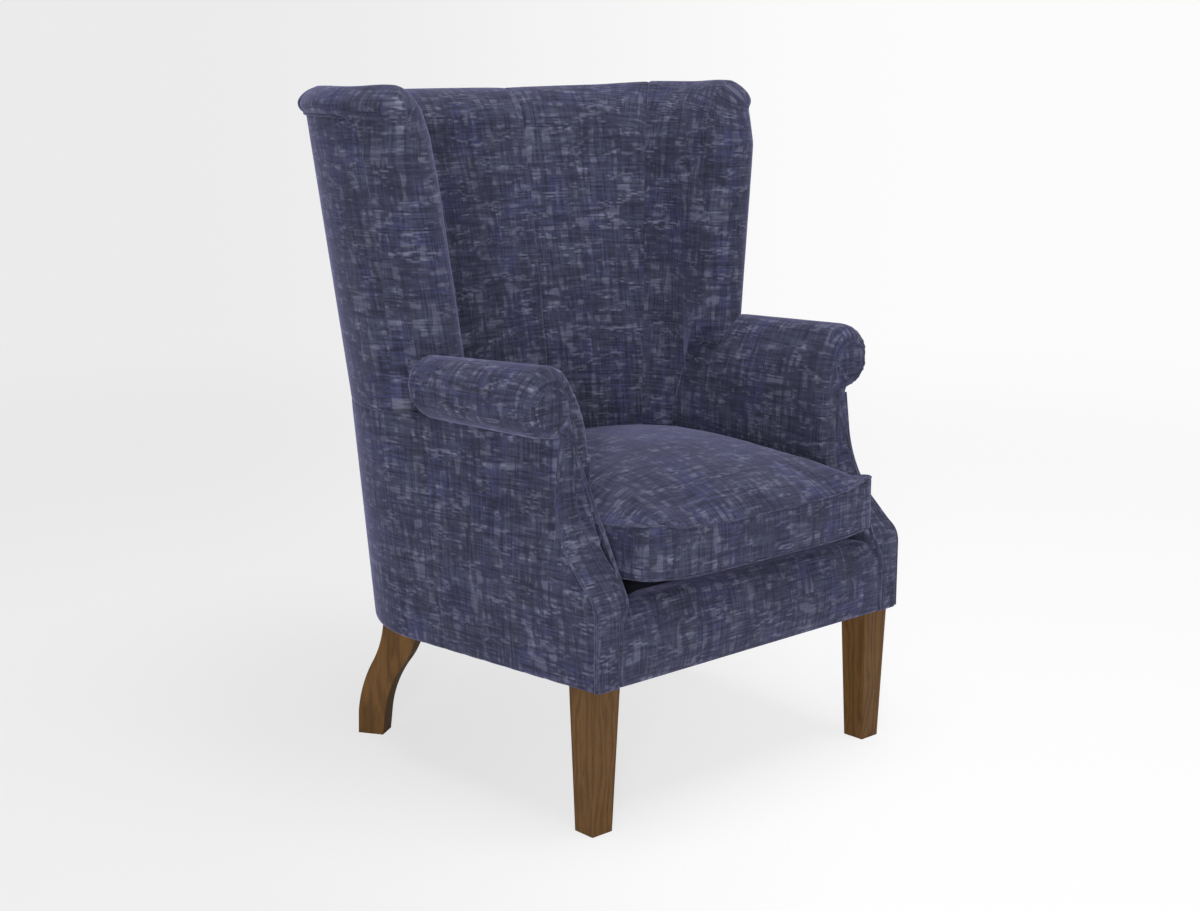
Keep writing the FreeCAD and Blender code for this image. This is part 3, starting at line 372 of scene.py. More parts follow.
# %% Sizes of the body
shift_y = 0.00884
leg_height = 0.218
arm_panel_top = 0.556
lean_end_level = 0.985
lean_share_at_seam = 0.335
base_half_width = 0.356
rim_half_width = 0.385
rim_side_y = 0.105
base_corner_radius = 0.229
rim_corner_radius = 0.240
corner_degrees = 30.0
corner_turn = math.radians(corner_degrees)
wall_depth = 0.098
middle_arc_radius = 0.50
corner_arc_radius = 0.235
roll_limit = 0.12
front_face_y = -0.389 + shift_y
arm_front_y = -0.293 + shift_y
scroll_x = 0.313
scroll_level = 0.600
scroll_splay = 0.0667
roll_radius = 0.050
welt_radius = 0.030
wing_roll_radius = 0.043
wing_foot_level = 0.640
wing_lean_height = 0.290
wing_head_level = 0.930
wing_head_height = 0.099


def lean_share(level):
    """How far the wall has leaned out at a level: 0 at the foot, 1 under the rim."""
    low = lean_share_at_seam * (level - leg_height) / (arm_panel_top - leg_height)
    above = (level - arm_panel_top) / (lean_end_level - arm_panel_top)
    high = lean_share_at_seam + (1.0 - lean_share_at_seam) * above
    return np.where(level < arm_panel_top, low, high)


def wall_sizes(level):
    """The wall at each level: corner radius and centre, the middle arc's centre and its extra radius."""
    share = lean_share(level)
    corner_radius = base_corner_radius + (rim_corner_radius - base_corner_radius) * share
    side_reach = base_half_width + (rim_half_width - base_half_width) * share - corner_radius
    side_y = rim_side_y * share + shift_y
    beyond = side_reach / math.sin(corner_turn)
    return corner_radius, side_reach, side_y, side_y - beyond * math.cos(corner_turn), beyond


def wall_map(points, depth=0.0):
    """Arc along the wall from the middle of the back, and height plus the rim's roll."""
    x, y, z = points.T
    reach = np.abs(x)
    corner_radius, side_reach, side_y, middle_y, beyond = wall_sizes(z)
    middle_turn = np.arctan2(reach, y - middle_y)
    corner = np.arctan2(reach - side_reach, y - side_y)
    middle_length = middle_arc_radius - depth
    corner_length = corner_arc_radius - depth
    bent = np.clip(corner, corner_turn, math.pi / 2) - corner_turn
    along = np.where(middle_turn < corner_turn, middle_turn * middle_length,
                     corner_turn * middle_length + bent * corner_length + np.maximum(0.0, side_y - y))
    if depth == 0.0:
        return np.stack([np.sign(x) * along, z], axis=1)
    in_middle = middle_turn < corner_turn
    radius = np.where(in_middle, np.hypot(reach, y - middle_y), np.hypot(reach - side_reach, y - side_y))
    outside = np.where(in_middle, corner_radius + beyond, corner_radius)
    rolled = np.clip(radius - (outside - depth), 0.0, roll_limit)
    return np.stack([np.sign(x) * along, z + rolled], axis=1)


def wing_map(points):
    """Round the wing's rolled front edge: inside face, roll, then the outside."""
    x, y, z = points.T
    share = np.clip((z - wing_foot_level) / wing_lean_height, -0.5, 1.0)
    top = np.clip((z - wing_head_level) / wing_head_height, 0.0, 1.0)
    axis_x = 0.295 + 0.038 * share - 0.008 * top
    axis_y = -0.003 + 0.013 * share + 0.007 * top + shift_y
    side = np.abs(x) - axis_x
    back = y - axis_y
    corner_radius, side_reach, side_y = wall_sizes(z)[:3]
    turn = np.clip(np.arctan2(np.abs(x) - side_reach, y - side_y), 0.3, math.pi / 2)
    inner_arc = (math.pi / 2 - turn) * (corner_radius - wall_depth)
    straight = np.minimum(back, np.maximum(side_y - axis_y, 0.0))
    round_front = wing_roll_radius * np.arctan2(-back, -side)
    inner = np.where(back < 0.0, round_front, -(straight + inner_arc))
    outer = np.where(back < 0.0, round_front, math.pi * wing_roll_radius + back)
    along = np.where(side < 0.0, inner, outer)
    past_wall = np.hypot(np.abs(x) - side_reach, y - side_y) - (corner_radius - wall_depth)
    rolled = np.clip(past_wall, 0.0, roll_limit) * np.clip((z - 0.95) / 0.05, 0.0, 1.0)
    return np.stack([np.sign(x) * along, z + np.where(side < 0.02, rolled, 0.0)], axis=1)


inner_edge_levels = np.array([0.260, 0.313, 0.333, 0.352, 0.381, 0.418, 0.478, 0.558, 0.600])
inner_edge_reach = np.array([0.266, 0.262, 0.252, 0.250, 0.248, 0.246, 0.243, 0.247, 0.262])


def arm_map(points):
    """Along the arm, and round its roll from the inner face over the top to the outside."""
    x, y, z = points.T
    centre_x = scroll_x + scroll_splay * (y - arm_front_y)
    side = np.abs(x) - centre_x
    rise = z - scroll_level
    around = np.arctan2(rise, -side)
    around = np.where((around < 0.0) & (side > 0.0), around + 2.0 * math.pi, around)
    below = (rise < 0.0) & (side <= 0.0)
    up = np.where(below, rise, roll_radius * around)
    at_front = y < arm_front_y + 0.03
    tucked = np.clip(roll_radius - np.hypot(side, rise), 0.0, 0.03) * at_front * ~below
    edge = np.interp(z, inner_edge_levels, inner_edge_reach)
    wrapped = np.where(below, np.clip(np.abs(x) - edge, 0.0, 0.06), tucked)
    return np.stack([np.sign(x) * (wrapped - y), up], axis=1)


slope_share = 0.6


def front_map(points):
    """Across and up a front panel, with part of the depth of a slope or a lip added to the height."""
    x, y, z = points.T
    return np.stack([x, z + slope_share * (y - front_face_y)], axis=1)


print("maps for the wall, the wings, the arms and the front")

# %% [markdown]
# ## Making a padded panel
# Each padded piece starts as a copy of its solid. A voxel remesh turns the loose triangles into an even
# net, smoothing rounds the cut edges as padding under cloth does, and a small swell closes the
# joints between neighbours, so that they meet in a narrow sewn valley. Sculpting could do this too,
# but one rule treats all panels alike.

# %% Helpers for pieces
join_distance = 0.00002


def copy_of(node, name):
    """A loose copy of a solid's mesh, with the points of its triangles joined."""
    mesh = nodes[node].data.copy()
    mesh.name = name
    net = bmesh.new()
    net.from_mesh(mesh)
    bmesh.ops.remove_doubles(net, verts=net.verts, dist=join_distance)
    net.to_mesh(mesh)
    net.free()
    mesh.materials.clear()
    piece = bpy.data.objects.new(name, mesh)
    collection.objects.link(piece)
    return piece


def tree_of(node):
    """A solid's faces in a form that rays can be cast at."""
    mesh = nodes[node].data
    points = [tuple(vertex.co) for vertex in mesh.vertices]
    return BVHTree.FromPolygons(points, [tuple(face.vertices) for face in mesh.polygons])


def settle(piece):
    """Makes the result of a piece's modifiers its own plain mesh."""
    evaluated = piece.evaluated_get(bpy.context.evaluated_depsgraph_get())
    mesh = bpy.data.meshes.new_from_object(evaluated)
    piece.modifiers.clear()
    piece.data = mesh


def corners_of(mesh):
    points = np.empty(len(mesh.vertices) * 3)
    mesh.vertices.foreach_get("co", points)
    return points.reshape(-1, 3)


def lay_map(piece, lengths):
    """Stores a map in metres, given point by point, for the weave to read."""
    mesh = piece.data
    while mesh.uv_layers:
        mesh.uv_layers.remove(mesh.uv_layers[0])
    layer = mesh.uv_layers.new(name="cloth_map")
    order = np.empty(len(mesh.loops), dtype=np.int64)
    mesh.loops.foreach_get("vertex_index", order)
    layer.data.foreach_set("uv", lengths[order].astype(np.float32).ravel())


def finish_with(piece, material):
    piece.data.materials.clear()
    piece.data.materials.append(material)
    piece.data.shade_smooth()


def upholster(node, mapping, place=(0.0, 0.0), voxel=0.004, rounds=4, swell=0.0014, cloth=None,
              shaped=None):
    """Turns one padded solid into a soft piece. Its place on the bolt of cloth shifts the weave."""
    piece = copy_of(node, node + "_cover")
    net = piece.modifiers.new("even_net", "REMESH")
    net.mode = "VOXEL"
    net.voxel_size = voxel
    soften = piece.modifiers.new("soften", "SMOOTH")
    soften.factor = 0.5
    soften.iterations = rounds
    puff = piece.modifiers.new("puff", "DISPLACE")
    puff.mid_level = 0.0
    puff.strength = swell
    settle(piece)
    if shaped:
        piece.data.vertices.foreach_set("co", shaped(corners_of(piece.data)).ravel())
        piece.data.update()
    lay_map(piece, mapping(corners_of(piece.data)) + np.array(place))
    finish_with(piece, cloth or weave)
    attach(piece, "frame")
    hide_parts(node)


print("helpers for padded pieces ready")

# %% [markdown]
# ## Back, wings and outside panels
# The inside back is three channels sewn side by side. The wings fold round rolled edges, and the
# outside is covered with thin panels over board. All are stuffed, so all come from the same rule.

# %% Back and outside
full_swell = 0.0018
board_swell = 0.0006


def share_above(value, level, length):
    """0 below the level, and 1 from one length above it."""
    return np.clip((value - level) / length, 0.0, 1.0)


def share_below(value, level, length):
    """0 above the level, and 1 from one length below it."""
    return np.clip((level - value) / length, 0.0, 1.0)


def inside_wall(points):
    return wall_map(points, wall_depth)


def domed_top(points):
    """The padding over each wing's end rises a little above the rest of the rim."""
    x, y, z = points.T
    across = (np.abs(x) - 0.325) / 0.045
    forward = (y - 0.045) / 0.05
    lift = 0.0045 * np.exp(-(across ** 2) - forward ** 2) * share_above(z, 0.985, 0.04)
    settled = 0.005 * share_below(z, 0.70, 0.06) * (y < 0.05)
    return np.stack([x, y, z + lift - settled], axis=1)


def raised_top(points):
    """The outside panels reach up under the roll and the wing, as far as their seam."""
    x, y, z = points.T
    lift = 0.0035 * (1.0 + share_below(y, 0.010, 0.020)) * share_above(z, 0.540, 0.012)
    return np.stack([x, y, z + lift], axis=1)


def lowered_foot(points):
    """The outer wing panel comes down a little over the panel below."""
    x, y, z = points.T
    return np.stack([x, y, z - 0.0012 * share_below(z, 0.575, 0.012)], axis=1)


upholster("inside_back_centre", inside_wall, (0.0, 0.0), swell=full_swell)
for side in ("left", "right"):
    upholster("inside_back_side_" + side, inside_wall, (0.3, 0.02), swell=full_swell)
    upholster("inside_wing_" + side, wing_map, (0.9, 0.0), swell=full_swell, shaped=domed_top)
    upholster("outside_wing_" + side, wall_map, (1.7, 0.03), swell=board_swell,
              shaped=lowered_foot)
    upholster("outside_arm_" + side, wall_map, (2.6, 0.0), shaped=raised_top)
upholster("outside_back", wall_map, (3.9, 0.0))
print("back, wings and outside panels covered")

# %% [markdown]
# ## Arms, front border and deck
# The arm is one padded roll with the inner face below it. Its front is closed by a facing that follows
# the curve of the arm and ends in a round scroll.

# %% Arms and front
fold_count = 24
fold_height = 0.0005
crease_offset = 0.0055
roll_crease = (0.0045, 0.0036)
facing_crease = (0.0026, 0.0032)
cushion_room = 0.0014


def crease_depth(off_line, crease):
    """How deep a crease of one depth and width is, this far from its line."""
    depth, width = crease
    return depth * np.exp(-((off_line / width) ** 2))


def scroll_folds(points):
    """Small folds that fan out from the scroll, where the cover of the roll is gathered at its front."""
    x, y, z = points.T
    side = np.abs(x) - scroll_x
    rise = z - scroll_level
    apart = np.hypot(side, rise)
    turn = np.arctan2(rise, side)
    near_front = share_below(y, arm_front_y + 0.045, 0.035)
    round_scroll = share_above(apart, welt_radius, 0.008) * share_below(apart, 0.075, 0.02)
    height = fold_height * np.cos(fold_count * turn) * near_front * round_scroll * (rise > -0.045)
    push = height / np.maximum(apart, 0.001)
    crease = crease_depth(apart - welt_radius - crease_offset, roll_crease) * (y < arm_front_y + 0.02)
    return np.stack([x + np.sign(x) * side * push, y - height * 0.6 + crease, z + rise * push], axis=1)


def creased_facing(points):
    """The facing is drawn in beside its welt, all round the scroll."""
    x, y, z = points.T
    apart = np.hypot(np.abs(x) - scroll_x, z - scroll_level)
    crease = crease_depth(apart - welt_radius + crease_offset, facing_crease) * (z > scroll_level - 0.025)
    return np.stack([x, y + crease, z], axis=1)


def arm_shape(points):
    """The folds round the scroll, and an inner face that lies back a little to leave the cushion room."""
    folded = scroll_folds(points)
    x, y, z = folded.T
    inner_face = share_below(np.abs(x), scroll_x - 0.030, 0.010) * share_above(z, 0.335, 0.010)
    return np.stack([x + np.sign(x) * cushion_room * inner_face, y, z], axis=1)


def border_shape(points):
    """The border is pulled round its ends to close against the facings, and its lip stands full."""
    x, y, z = points.T
    wider = 0.0035 * share_above(np.abs(x), 0.262, 0.010)
    fuller = 0.007 * share_above(z, 0.285, 0.040)
    return np.stack([x + np.sign(x) * wider, y, z + fuller], axis=1)


for side in ("left", "right"):
    upholster("inside_arm_" + side, arm_map, (5.2, 0.0), voxel=0.0035, swell=full_swell, shaped=arm_shape)
    upholster("arm_facing_" + side, front_map, (6.3, 0.0), voxel=0.003, rounds=3,
              shaped=creased_facing)
upholster("front_border", front_map, (7.1, 0.0), shaped=border_shape)
upholster("seat_deck", lambda points: points[:, :2], voxel=0.005, cloth=deck_cloth)
print("arms, border and deck covered")

# %% [markdown]
# ## The loose cushion
# The cushion is a crowned top and a flatter underside joined by a band. It is built as a net whose rows
# follow its outline, so that both seams run along edges of the net. A remesh would blur them.

# %% Shape of the cushion
cushion_low, cushion_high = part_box("seat_cushion")
solid_tree = tree_of("seat_cushion")
row_count = 64
column_count = 56
band_count = 8
seam_low = 0.3475
seam_high = 0.4290
ear_height = 0.0150
front_corner = 0.034
front_inset = 0.030
end_margin = 0.001
row_easing = 0.7
column_easing = 0.6
low_rise = 0.0125
low_corner_rise = 0.007
underside_sag = 0.015
crown_share = 0.97


def eased(count, share):
    """Steps from 0 to 1 that are closer together at both ends."""
    steps = np.linspace(0.0, 1.0, count + 1)
    return steps * (1.0 - share) + (1.0 - np.cos(math.pi * steps)) / 2.0 * share


def solid_half_width(y):
    hit = solid_tree.ray_cast(Vector((1.0, y, 0.39)), Vector((-1.0, 0.0, 0.0)))[0]
    return hit.x if hit else None


def solid_top(x, y):
    hit = solid_tree.ray_cast(Vector((x, y, 1.0)), Vector((0.0, 0.0, -1.0)))[0]
    return hit.z if hit else seam_high


def cushion_rows():
    """The place and half width of each row of the net, front to back."""
    front = cushion_low.y + end_margin
    back = cushion_high.y - end_margin
    rows = []
    for step in eased(row_count, row_easing):
        y = front + (back - front) * float(step)
        reach = y - front
        wide = solid_half_width(max(y, front + front_corner))
        if reach < front_corner:
            inset = 1.0 - math.sqrt(max(0.0, 1.0 - (1.0 - reach / front_corner) ** 2))
            wide -= front_inset * inset
        rows.append((y, wide))
    return rows


def seam_rise(x, y, wide):
    """The top seam climbs to a small ear at each front corner."""
    front = cushion_low.y
    return ear_height * (abs(x) / wide) ** 5 * math.exp(-(((y - front) / 0.07) ** 2))


def low_seam_rise(x, y, wide):
    """The lower seam is drawn up at the front, most at the corners, so that it clears the border's lip."""
    near_front = math.exp(-(((y - cushion_low.y) / 0.12) ** 2))
    return (low_rise + low_corner_rise * (abs(x) / wide) ** 6) * near_front


rows = cushion_rows()
columns = eased(column_count, column_easing) * 2.0 - 1.0
print("cushion net of", row_count + 1, "rows and", column_count + 1, "columns")


# %% Net of the cushion
def cushion_net():
    """Top and bottom panels on the same rows and columns, joined by the band between their edges."""
    net = bmesh.new()
    panels = []
    for upper in (True, False):
        grid = []
        for row, (y, wide) in enumerate(rows):
            line = []
            for column, share in enumerate(columns):
                x = wide * float(share)
                edge = row in (0, row_count) or column in (0, column_count)
                seam = seam_high + seam_rise(x, y, wide)
                if upper:
                    crown = solid_top(x, y) * crown_share + seam_high * (1.0 - crown_share)
                    z = seam if edge else max(seam, crown)
                else:
                    from_side = 4.0 * (1.0 - abs(float(share)))
                    sunk = min(1.0, from_side, 8.0 * (y - rows[0][0]), 6.0 * (rows[-1][0] - y))
                    z = seam_low + low_seam_rise(x, y, wide) - underside_sag * sunk
                line.append(net.verts.new((x, y, z)))
            grid.append(line)
        for first, second in zip(grid, grid[1:]):
            for a, b, c, d in zip(first, first[1:], second[1:], second):
                net.faces.new((a, b, c, d) if upper else (d, c, b, a))
        panels.append(grid)
    rims = []
    for grid in panels:
        right_side = [line[-1] for line in grid[:-1]]
        left_side = [line[0] for line in grid[:0:-1]]
        rims.append(grid[0][:-1] + right_side + grid[-1][:0:-1] + left_side)
    rings = [rims[0]]
    for step in range(1, band_count):
        share = step / band_count
        rings.append([net.verts.new(top.co.lerp(low.co, share)) for top, low in zip(*rims)])
    rings.append(rims[1])
    for upper, lower in zip(rings, rings[1:]):
        for index in range(len(upper)):
            other = (index + 1) % len(upper)
            net.faces.new((upper[index], lower[index], lower[other], upper[other]))
    bmesh.ops.recalc_face_normals(net, faces=net.faces)
    return net


def zones_of(net):
    """0 for faces of the top, 1 for the bottom and 2 for the band, in the order they were made."""
    panel = row_count * column_count
    return np.array([0] * panel + [1] * panel + [2] * (len(net.faces) - 2 * panel))


net = cushion_net()
cushion_zones = zones_of(net)
cushion_mesh = bpy.data.meshes.new("seat_cushion_cover")
net.to_mesh(cushion_mesh)
net.free()
cushion = bpy.data.objects.new("seat_cushion_cover", cushion_mesh)
collection.objects.link(cushion)
print("cushion net has", len(cushion_mesh.vertices), "points")

# %% [markdown]
# ## Filling the cushion
# A real cushion takes its shape from its filling. A short cloth simulation blows the net up a little,
# with the seams held firm, and a cap keeps every point near its start so that it stays in its place.
# Shaping it by hand would be slower, and cloth finds its own bulge between the seams.

# %% Inflate
pressure = 3.0
moments = 20
filling_cap = 0.010


def inflate(piece, held):
    """Cloth under inner pressure. Held points stay, and no point moves further than the cap."""
    start = corners_of(piece.data)
    group = piece.vertex_groups.new(name="held")
    group.add([int(index) for index in held], 1.0, "REPLACE")
    cloth = piece.modifiers.new("filling", "CLOTH")
    cloth.settings.use_pressure = True
    cloth.settings.uniform_pressure_force = pressure
    cloth.settings.mass = 0.3
    cloth.settings.tension_stiffness = 12.0
    cloth.settings.compression_stiffness = 6.0
    cloth.settings.bending_stiffness = 1.5
    cloth.settings.vertex_group_mass = "held"
    cloth.settings.effector_weights.gravity = 0.0
    cloth.point_cache.frame_start = 1
    cloth.point_cache.frame_end = moments
    for moment in range(1, moments + 1):
        scene.frame_set(moment)
    evaluated = piece.evaluated_get(bpy.context.evaluated_depsgraph_get())
    moved = corners_of(evaluated.data)
    piece.modifiers.clear()
    piece.vertex_groups.clear()
    scene.frame_set(1)
    step = moved - start
    length = np.linalg.norm(step, axis=1, keepdims=True)
    step *= np.minimum(1.0, filling_cap / np.maximum(length, 1e-9))
    piece.data.vertices.foreach_set("co", (start + step).ravel())
    piece.data.update()
    return float(length.max())


panel_points = (row_count + 1) * (column_count + 1)
indices = np.arange(panel_points)
on_end_row = indices // (column_count + 1) % row_count == 0
on_end_column = indices % (column_count + 1) % column_count == 0
on_rim = on_end_row | on_end_column
held = np.concatenate([indices[on_rim], indices[on_rim] + panel_points])
reached = inflate(cushion, held)
print("filling moved the cloth by up to", round(reached * millimetres, 1), "mm")


# %% Cushion seams and weave
side_clearance = 0.0012
seam_share = 0.9955
band_zone = 2
band_start = 9.0
band_side_start = 0.26
panel_start = 8.2


def keep_inside(piece):
    """Keeps the sides of the cushion off the arms, and its underside on the deck."""
    moved = corners_of(piece.data)
    row_places, row_widths = zip(*rows)
    widths = np.interp(moved[:, 1], row_places, row_widths) - side_clearance
    inside = moved[:, 1] > arm_front_y - 0.03
    moved[:, 0] = np.where(inside, np.clip(moved[:, 0], -widths, widths), moved[:, 0])
    moved[:, 1] = np.clip(moved[:, 1], cushion_low.y - 0.008, cushion_high.y)
    moved[:, 2] = np.maximum(moved[:, 2], cushion_low.z + 0.0002)
    piece.data.vertices.foreach_set("co", moved.ravel())
    piece.data.update()


def cushion_map(piece):
    """Top and bottom from above, and the band along its length, each cut apart from the others."""
    mesh = piece.data
    moved = corners_of(mesh)
    layer = mesh.uv_layers.new(name="cloth_map")
    for face, zone in zip(mesh.polygons, cushion_zones):
        for corner in face.loop_indices:
            x, y, z = moved[mesh.loops[corner].vertex_index]
            if zone == band_zone:
                sideways = abs(face.normal.x) > abs(face.normal.y)
                along = math.copysign(band_side_start + y - cushion_low.y, x) if sideways else x
                layer.data[corner].uv = (along + band_start, z)
            else:
                layer.data[corner].uv = (x + panel_start + zone, y)


keep_inside(cushion)
cushion_map(cushion)
panels = corners_of(cushion_mesh)[:2 * panel_points].reshape(2, row_count + 1, column_count + 1, 3)
cushion_seams = []
for panel in panels:
    around = list(panel[0, :-1]) + list(panel[:-1, -1]) + list(panel[-1, :0:-1]) + list(panel[:0:-1, 0])
    cushion_seams.append(([Vector((x * seam_share, y, z)) for x, y, z in around], True))
subdivide = cushion.modifiers.new("finer", "SUBSURF")
subdivide.levels = 1
subdivide.render_levels = 1
settle(cushion)
finish_with(cushion, weave)
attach(cushion, "cushion")
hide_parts("seat_cushion")
print("cushion done,", len(cushion.data.polygons), "faces")

# %% [markdown]
# ## Welts
# The facings are edged with a welt, a thin cord covered with the same cloth. It runs up the inner edge
# and round the scroll, and a finer seam runs down the outer edge. A welt follows a path, so Geometry
# Nodes make it: the path becomes a curve, a small circle is swept along it, and the lengths along and
# round it are stored as its map.

# %% Node tree for a welt
def welt_tree():
    tree = bpy.data.node_groups.new("welt", "GeometryNodeTree")
    sockets = tree.interface
    sockets.new_socket("Path", in_out="INPUT", socket_type="NodeSocketGeometry")
    sockets.new_socket("Cord radius", in_out="INPUT", socket_type="NodeSocketFloat")
    sockets.new_socket("Ring spacing", in_out="INPUT", socket_type="NodeSocketFloat")
    sockets.new_socket("Cloth", in_out="INPUT", socket_type="NodeSocketMaterial")
    sockets.new_socket("Welt", in_out="OUTPUT", socket_type="NodeSocketGeometry")

    def node(kind, links=(), **settings):
        made = tree.nodes.new(kind)
        for name, value in settings.items():
            setattr(made, name, value)
        for socket, source in links:
            tree.links.new(source, made.inputs[socket])
        return made

    given = node("NodeGroupInput").outputs
    line = node("GeometryNodeMeshToCurve", [("Mesh", given["Path"])])
    spacing = [("Curve", line.outputs[0]), ("Length", given["Ring spacing"])]
    even = node("GeometryNodeResampleCurve", spacing, mode="LENGTH")
    along = node("GeometryNodeCaptureAttribute")
    along.capture_items.new("FLOAT", "Along")
    tree.links.new(even.outputs[0], along.inputs[0])
    tree.links.new(node("GeometryNodeSplineParameter").outputs["Length"], along.inputs[1])
    circle = node("GeometryNodeCurvePrimitiveCircle", [("Radius", given["Cord radius"])])
    circle.inputs["Resolution"].default_value = 8
    round_it = node("GeometryNodeCaptureAttribute")
    round_it.capture_items.new("FLOAT", "Round")
    tree.links.new(circle.outputs[0], round_it.inputs[0])
    tree.links.new(node("GeometryNodeSplineParameter").outputs["Length"], round_it.inputs[1])
    shapes = [("Curve", along.outputs[0]), ("Profile Curve", round_it.outputs[0])]
    swept = node("GeometryNodeCurveToMesh", shapes)
    swept.inputs["Fill Caps"].default_value = True
    lengths = node("ShaderNodeCombineXYZ", [("X", along.outputs[1]), ("Y", round_it.outputs[1])])
    mapped = node("GeometryNodeStoreNamedAttribute", [("Geometry", swept.outputs[0])],
                  data_type="FLOAT2", domain="CORNER")
    mapped.inputs["Name"].default_value = "cloth_map"
    tree.links.new(lengths.outputs[0], mapped.inputs["Value"])
    smooth = node("GeometryNodeSetShadeSmooth", [("Geometry", mapped.outputs[0])])
    real = node("GeometryNodeRealizeInstances", [("Geometry", smooth.outputs[0])])
    dressed = [("Geometry", real.outputs[0]), ("Material", given["Cloth"])]
    covered = node("GeometryNodeSetMaterial", dressed)
    node("NodeGroupOutput", [("Welt", covered.outputs[0])])
    return tree


welt_nodes = welt_tree()
welt_items = welt_nodes.interface.items_tree
welt_inputs = {item.name: item.identifier for item in welt_items if item.in_out == "INPUT"}
ring_spacing = 0.004


def welt(name, paths, radius, body):
    """One piece of welt along several paths, each a list of points and whether it closes."""
    points = []
    edges = []
    for path, closes in paths:
        first = len(points)
        points += [tuple(point) for point in path]
        edges += [(index, index + 1) for index in range(first, len(points) - 1)]
        if closes:
            edges.append((len(points) - 1, first))
    mesh = bpy.data.meshes.new(name)
    mesh.from_pydata(points, edges, [])
    piece = bpy.data.objects.new(name, mesh)
    collection.objects.link(piece)
    sweep = piece.modifiers.new("welt", "NODES")
    sweep.node_group = welt_nodes
    sweep[welt_inputs["Cord radius"]] = radius
    sweep[welt_inputs["Ring spacing"]] = ring_spacing
    sweep[welt_inputs["Cloth"]] = weave
    settle(piece)
    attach(piece, body)
    print(name, "has", len(piece.data.polygons), "faces")


print("nodes for a welt ready")

# %% Paths on the arms
facing_tree = tree_of("arm_facing_left")
outer_tree = tree_of("outside_arm_left")


def facing_front(x, z):
    """The front of the facing at a place seen from the front."""
    return facing_tree.ray_cast(Vector((x, -1.0, z)), Vector((0.0, 1.0, 0.0)))[0]


def outer_edge(z):
    """The corner where the facing meets the outside of the arm."""
    for reach in (0.30, 0.29, 0.28, 0.27):
        front = facing_front(reach - 0.004, z)
        if front:
            side = outer_tree.ray_cast(Vector((1.0, front.y + 0.010, z)), Vector((-1.0, 0.0, 0.0)))[0]
            return Vector((side.x - 0.0006, front.y - 0.0002, z))
    return None


def scroll_path():
    """Up the inner edge and round the scroll, as seen from the front."""
    inner = [(0.2767, 0.222), (0.2767, 0.270), (0.2767, 0.308), (0.2650, 0.328), (0.2620, 0.345),
             (0.2625, 0.375), (0.2660, 0.410), (0.2700, 0.450), (0.2735, 0.500), (0.2765, 0.545),
             (0.2800, 0.580)]
    ring = []
    for degrees in range(165, -150, -12):
        angle = math.radians(degrees)
        ring.append((scroll_x + welt_radius * math.cos(angle), scroll_level + welt_radius * math.sin(angle)))
    return inner + ring


def mirrored(path):
    return [Vector((-point.x, point.y, point.z)) for point in path]


def evenly(path, spacing=0.006):
    """The same path with points close enough together to lie on a curved face."""
    dense = []
    for (x0, z0), (x1, z1) in zip(path, path[1:]):
        count = max(1, int(math.hypot(x1 - x0, z1 - z0) / spacing))
        dense += [(x0 + (x1 - x0) * step / count, z0 + (z1 - z0) * step / count) for step in range(count)]
    return dense + [path[-1]]


scroll_cord = 0.0027
edge_cord = 0.0016
cushion_cord = 0.0013
rim_cord = 0.0024
welt_forward = Vector((0.0, -0.0026, 0.0))

inner_welt = [facing_front(x, z) for x, z in evenly(scroll_path())]
inner_welt = [point + welt_forward for point in inner_welt if point]
outer_welt = [outer_edge(float(z)) for z in np.linspace(0.221, 0.553, 80)]
outer_welt = [point for point in outer_welt if point]
welt("scroll_welts", [(inner_welt, False), (mirrored(inner_welt), False)], scroll_cord, "frame")
welt("outer_arm_seams", [(outer_welt, False), (mirrored(outer_welt), False)], edge_cord, "frame")
welt("cushion_seams", cushion_seams, cushion_cord, "cushion")

# %% Welt under the rim
rim_level = 0.990
rim_welt_level = 0.9885
rim_welt_offset = 0.0025


def rim_welt_path():
    """Along the outside of the back and the wings, just under the overhang of the rim."""
    sizes = wall_sizes(np.array([rim_level]))
    corner_radius, side_reach, side_y, middle_y, beyond = (float(value[0]) for value in sizes)
    corner = corner_radius + rim_welt_offset
    middle = corner_radius + beyond + rim_welt_offset
    path = []
    for degrees in range(-92, 93, 2):
        turn = math.radians(degrees)
        if abs(degrees) >= corner_degrees:
            x = math.copysign(side_reach, degrees) + math.sin(turn) * corner
            y = side_y + math.cos(turn) * corner
        else:
            x = math.sin(turn) * middle
            y = middle_y + math.cos(turn) * middle
        path.append(Vector((x, y, rim_welt_level)))
    return path


welt("rim_welt", [(rim_welt_path(), False)], rim_cord, "frame")

# %% [markdown]
# ## Legs and the parts inside
# The legs keep the shape of their solids, with edges eased by sanding, for which a small bevel is
# enough. The frame, springs and webbing lie inside the cover, but get their own finishes too.

# %% Legs
sharp_angle = math.radians(35.0)
eased_width = 0.0014


def eased_leg(node):
    leg = copy_of(node, node + "_oak")
    ease = leg.modifiers.new("eased_edges", "BEVEL")
    ease.width = eased_width
    ease.segments = 3
    ease.limit_method = "ANGLE"
    ease.angle_limit = sharp_angle
    settle(leg)
    finish_with(leg, leg_oak)
    leg.data.set_sharp_from_angle(angle=sharp_angle)
    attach(leg, "frame")
    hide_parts(node)


for end in ("front", "rear"):
    for side in ("left", "right"):
        eased_leg(end + "_leg_" + side)
print("four legs")

# %% Dust cover
cover = copy_of("dust_cover", "dust_cover_cloth")
finish_with(cover, black_cloth)
cover.data.set_sharp_from_angle(angle=sharp_angle)
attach(cover, "frame")
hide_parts("dust_cover")

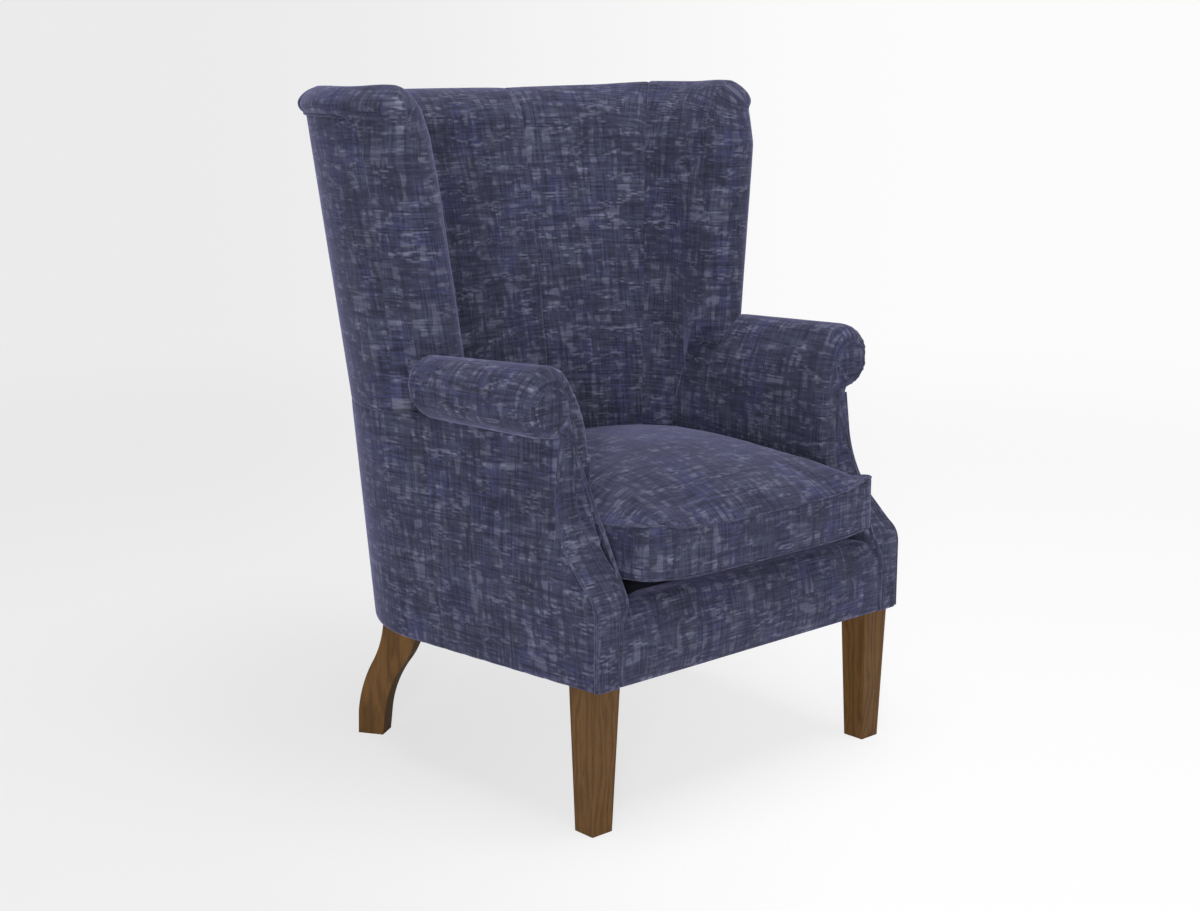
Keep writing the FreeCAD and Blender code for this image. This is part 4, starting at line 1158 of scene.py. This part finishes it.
# %% Inner parts
inner_finishes = {
    "leg_bolts": zinc,
    "spring_clips": clip_steel,
    "seat_springs": spring_steel,
    "back_webbing": webbing,
}
for name, node in nodes.items():
    if not node.hide_render:
        node.data.materials.clear()
        node.data.materials.append(inner_finishes.get(name, pale_timber))
print("inner parts finished")

# %% [markdown]
# ## Floor and surroundings
# The floor is a pale sheet that runs to the horizon. It is a little greyer on the left, as in the
# photograph, and keeps the chair's soft shadow. A flat backdrop image would not catch that shadow.

# %% Floor and sky
room_left = shade(235, 235, 235)
room_right = shade(252, 252, 252)
floor_paint = shade(252, 252, 252)
floor_glow = 0.77
near_glow = 1.04
sky_strength = 0.18
floor_reach = 60
tone_left = -0.22
tone_right = 0.18
near_floor = 1.2
far_floor = 4.5
white = (1.0, 1.0, 1.0, 1.0)


def room_tone(paint, place, centre):
    """The tone of the room, greyer on the left and whiter on the right of a fixed spot in it."""
    offset = paint.add("ShaderNodeVectorMath", {"operation": "SUBTRACT"}, {0: place, 1: centre}).outputs[0]
    across = paint.direction(offset, view_right)
    away = paint.direction(offset, level_view)
    share = paint.rise(across / paint.math("MAXIMUM", away, 0.2), tone_left, tone_right)
    return paint.blend(share, room_left, room_right)


def pale_floor():
    """Plain matt floor. What the camera sees of it is mostly its own tone, so its shadow stays faint."""
    paint = Finish("pale_floor")
    place = paint.place()
    tone = room_tone(paint, place, (camera_place[0], camera_place[1], 0.0))
    paint.colour(floor_paint)
    paint.set(Roughness=0.9, Specular_IOR_Level=0.0)
    apart = paint.add("ShaderNodeVectorMath", {"operation": "LENGTH"}, {0: place}).outputs[1]
    far = paint.rise(Value(paint, apart), near_floor, far_floor)
    strength = near_glow - far * (near_glow - 1.0)
    glow = paint.add("ShaderNodeEmission", {}, {"Color": tone, "Strength": strength})
    share = paint.camera_ray() * (far * (1.0 - floor_glow) + floor_glow)
    paint.show_mixed(share, paint.shader.outputs[0], glow.outputs[0], "Material Output")
    return paint.material


floor_mesh = bpy.data.meshes.new("studio_floor")
floor_corners = [(x * floor_reach, y * floor_reach, 0.0) for x, y in ((-1, -1), (1, -1), (1, 1), (-1, 1))]
floor_mesh.from_pydata(floor_corners, [], [(0, 1, 2, 3)])
floor = bpy.data.objects.new("studio_floor", floor_mesh)
collection.objects.link(floor)
floor.data.materials.append(pale_floor())


def even_sky():
    """One pale tone that lights the room, and the floor's own tones where the camera sees it."""
    world = bpy.data.worlds.new("studio")
    world.use_nodes = True
    sky = Graph(world.node_tree)
    light = world.node_tree.nodes["Background"]
    light.inputs["Color"].default_value = white
    light.inputs["Strength"].default_value = sky_strength
    ways = sky.add("ShaderNodeTexCoord", {}, {}).outputs["Generated"]
    seen = sky.add("ShaderNodeBackground", {}, {"Color": room_tone(sky, ways, (0.0, 0.0, 0.0))})
    sky.show_mixed(sky.camera_ray(), light.outputs[0], seen.outputs[0], "World Output")
    return world


scene.world = even_sky()
print("floor and sky")
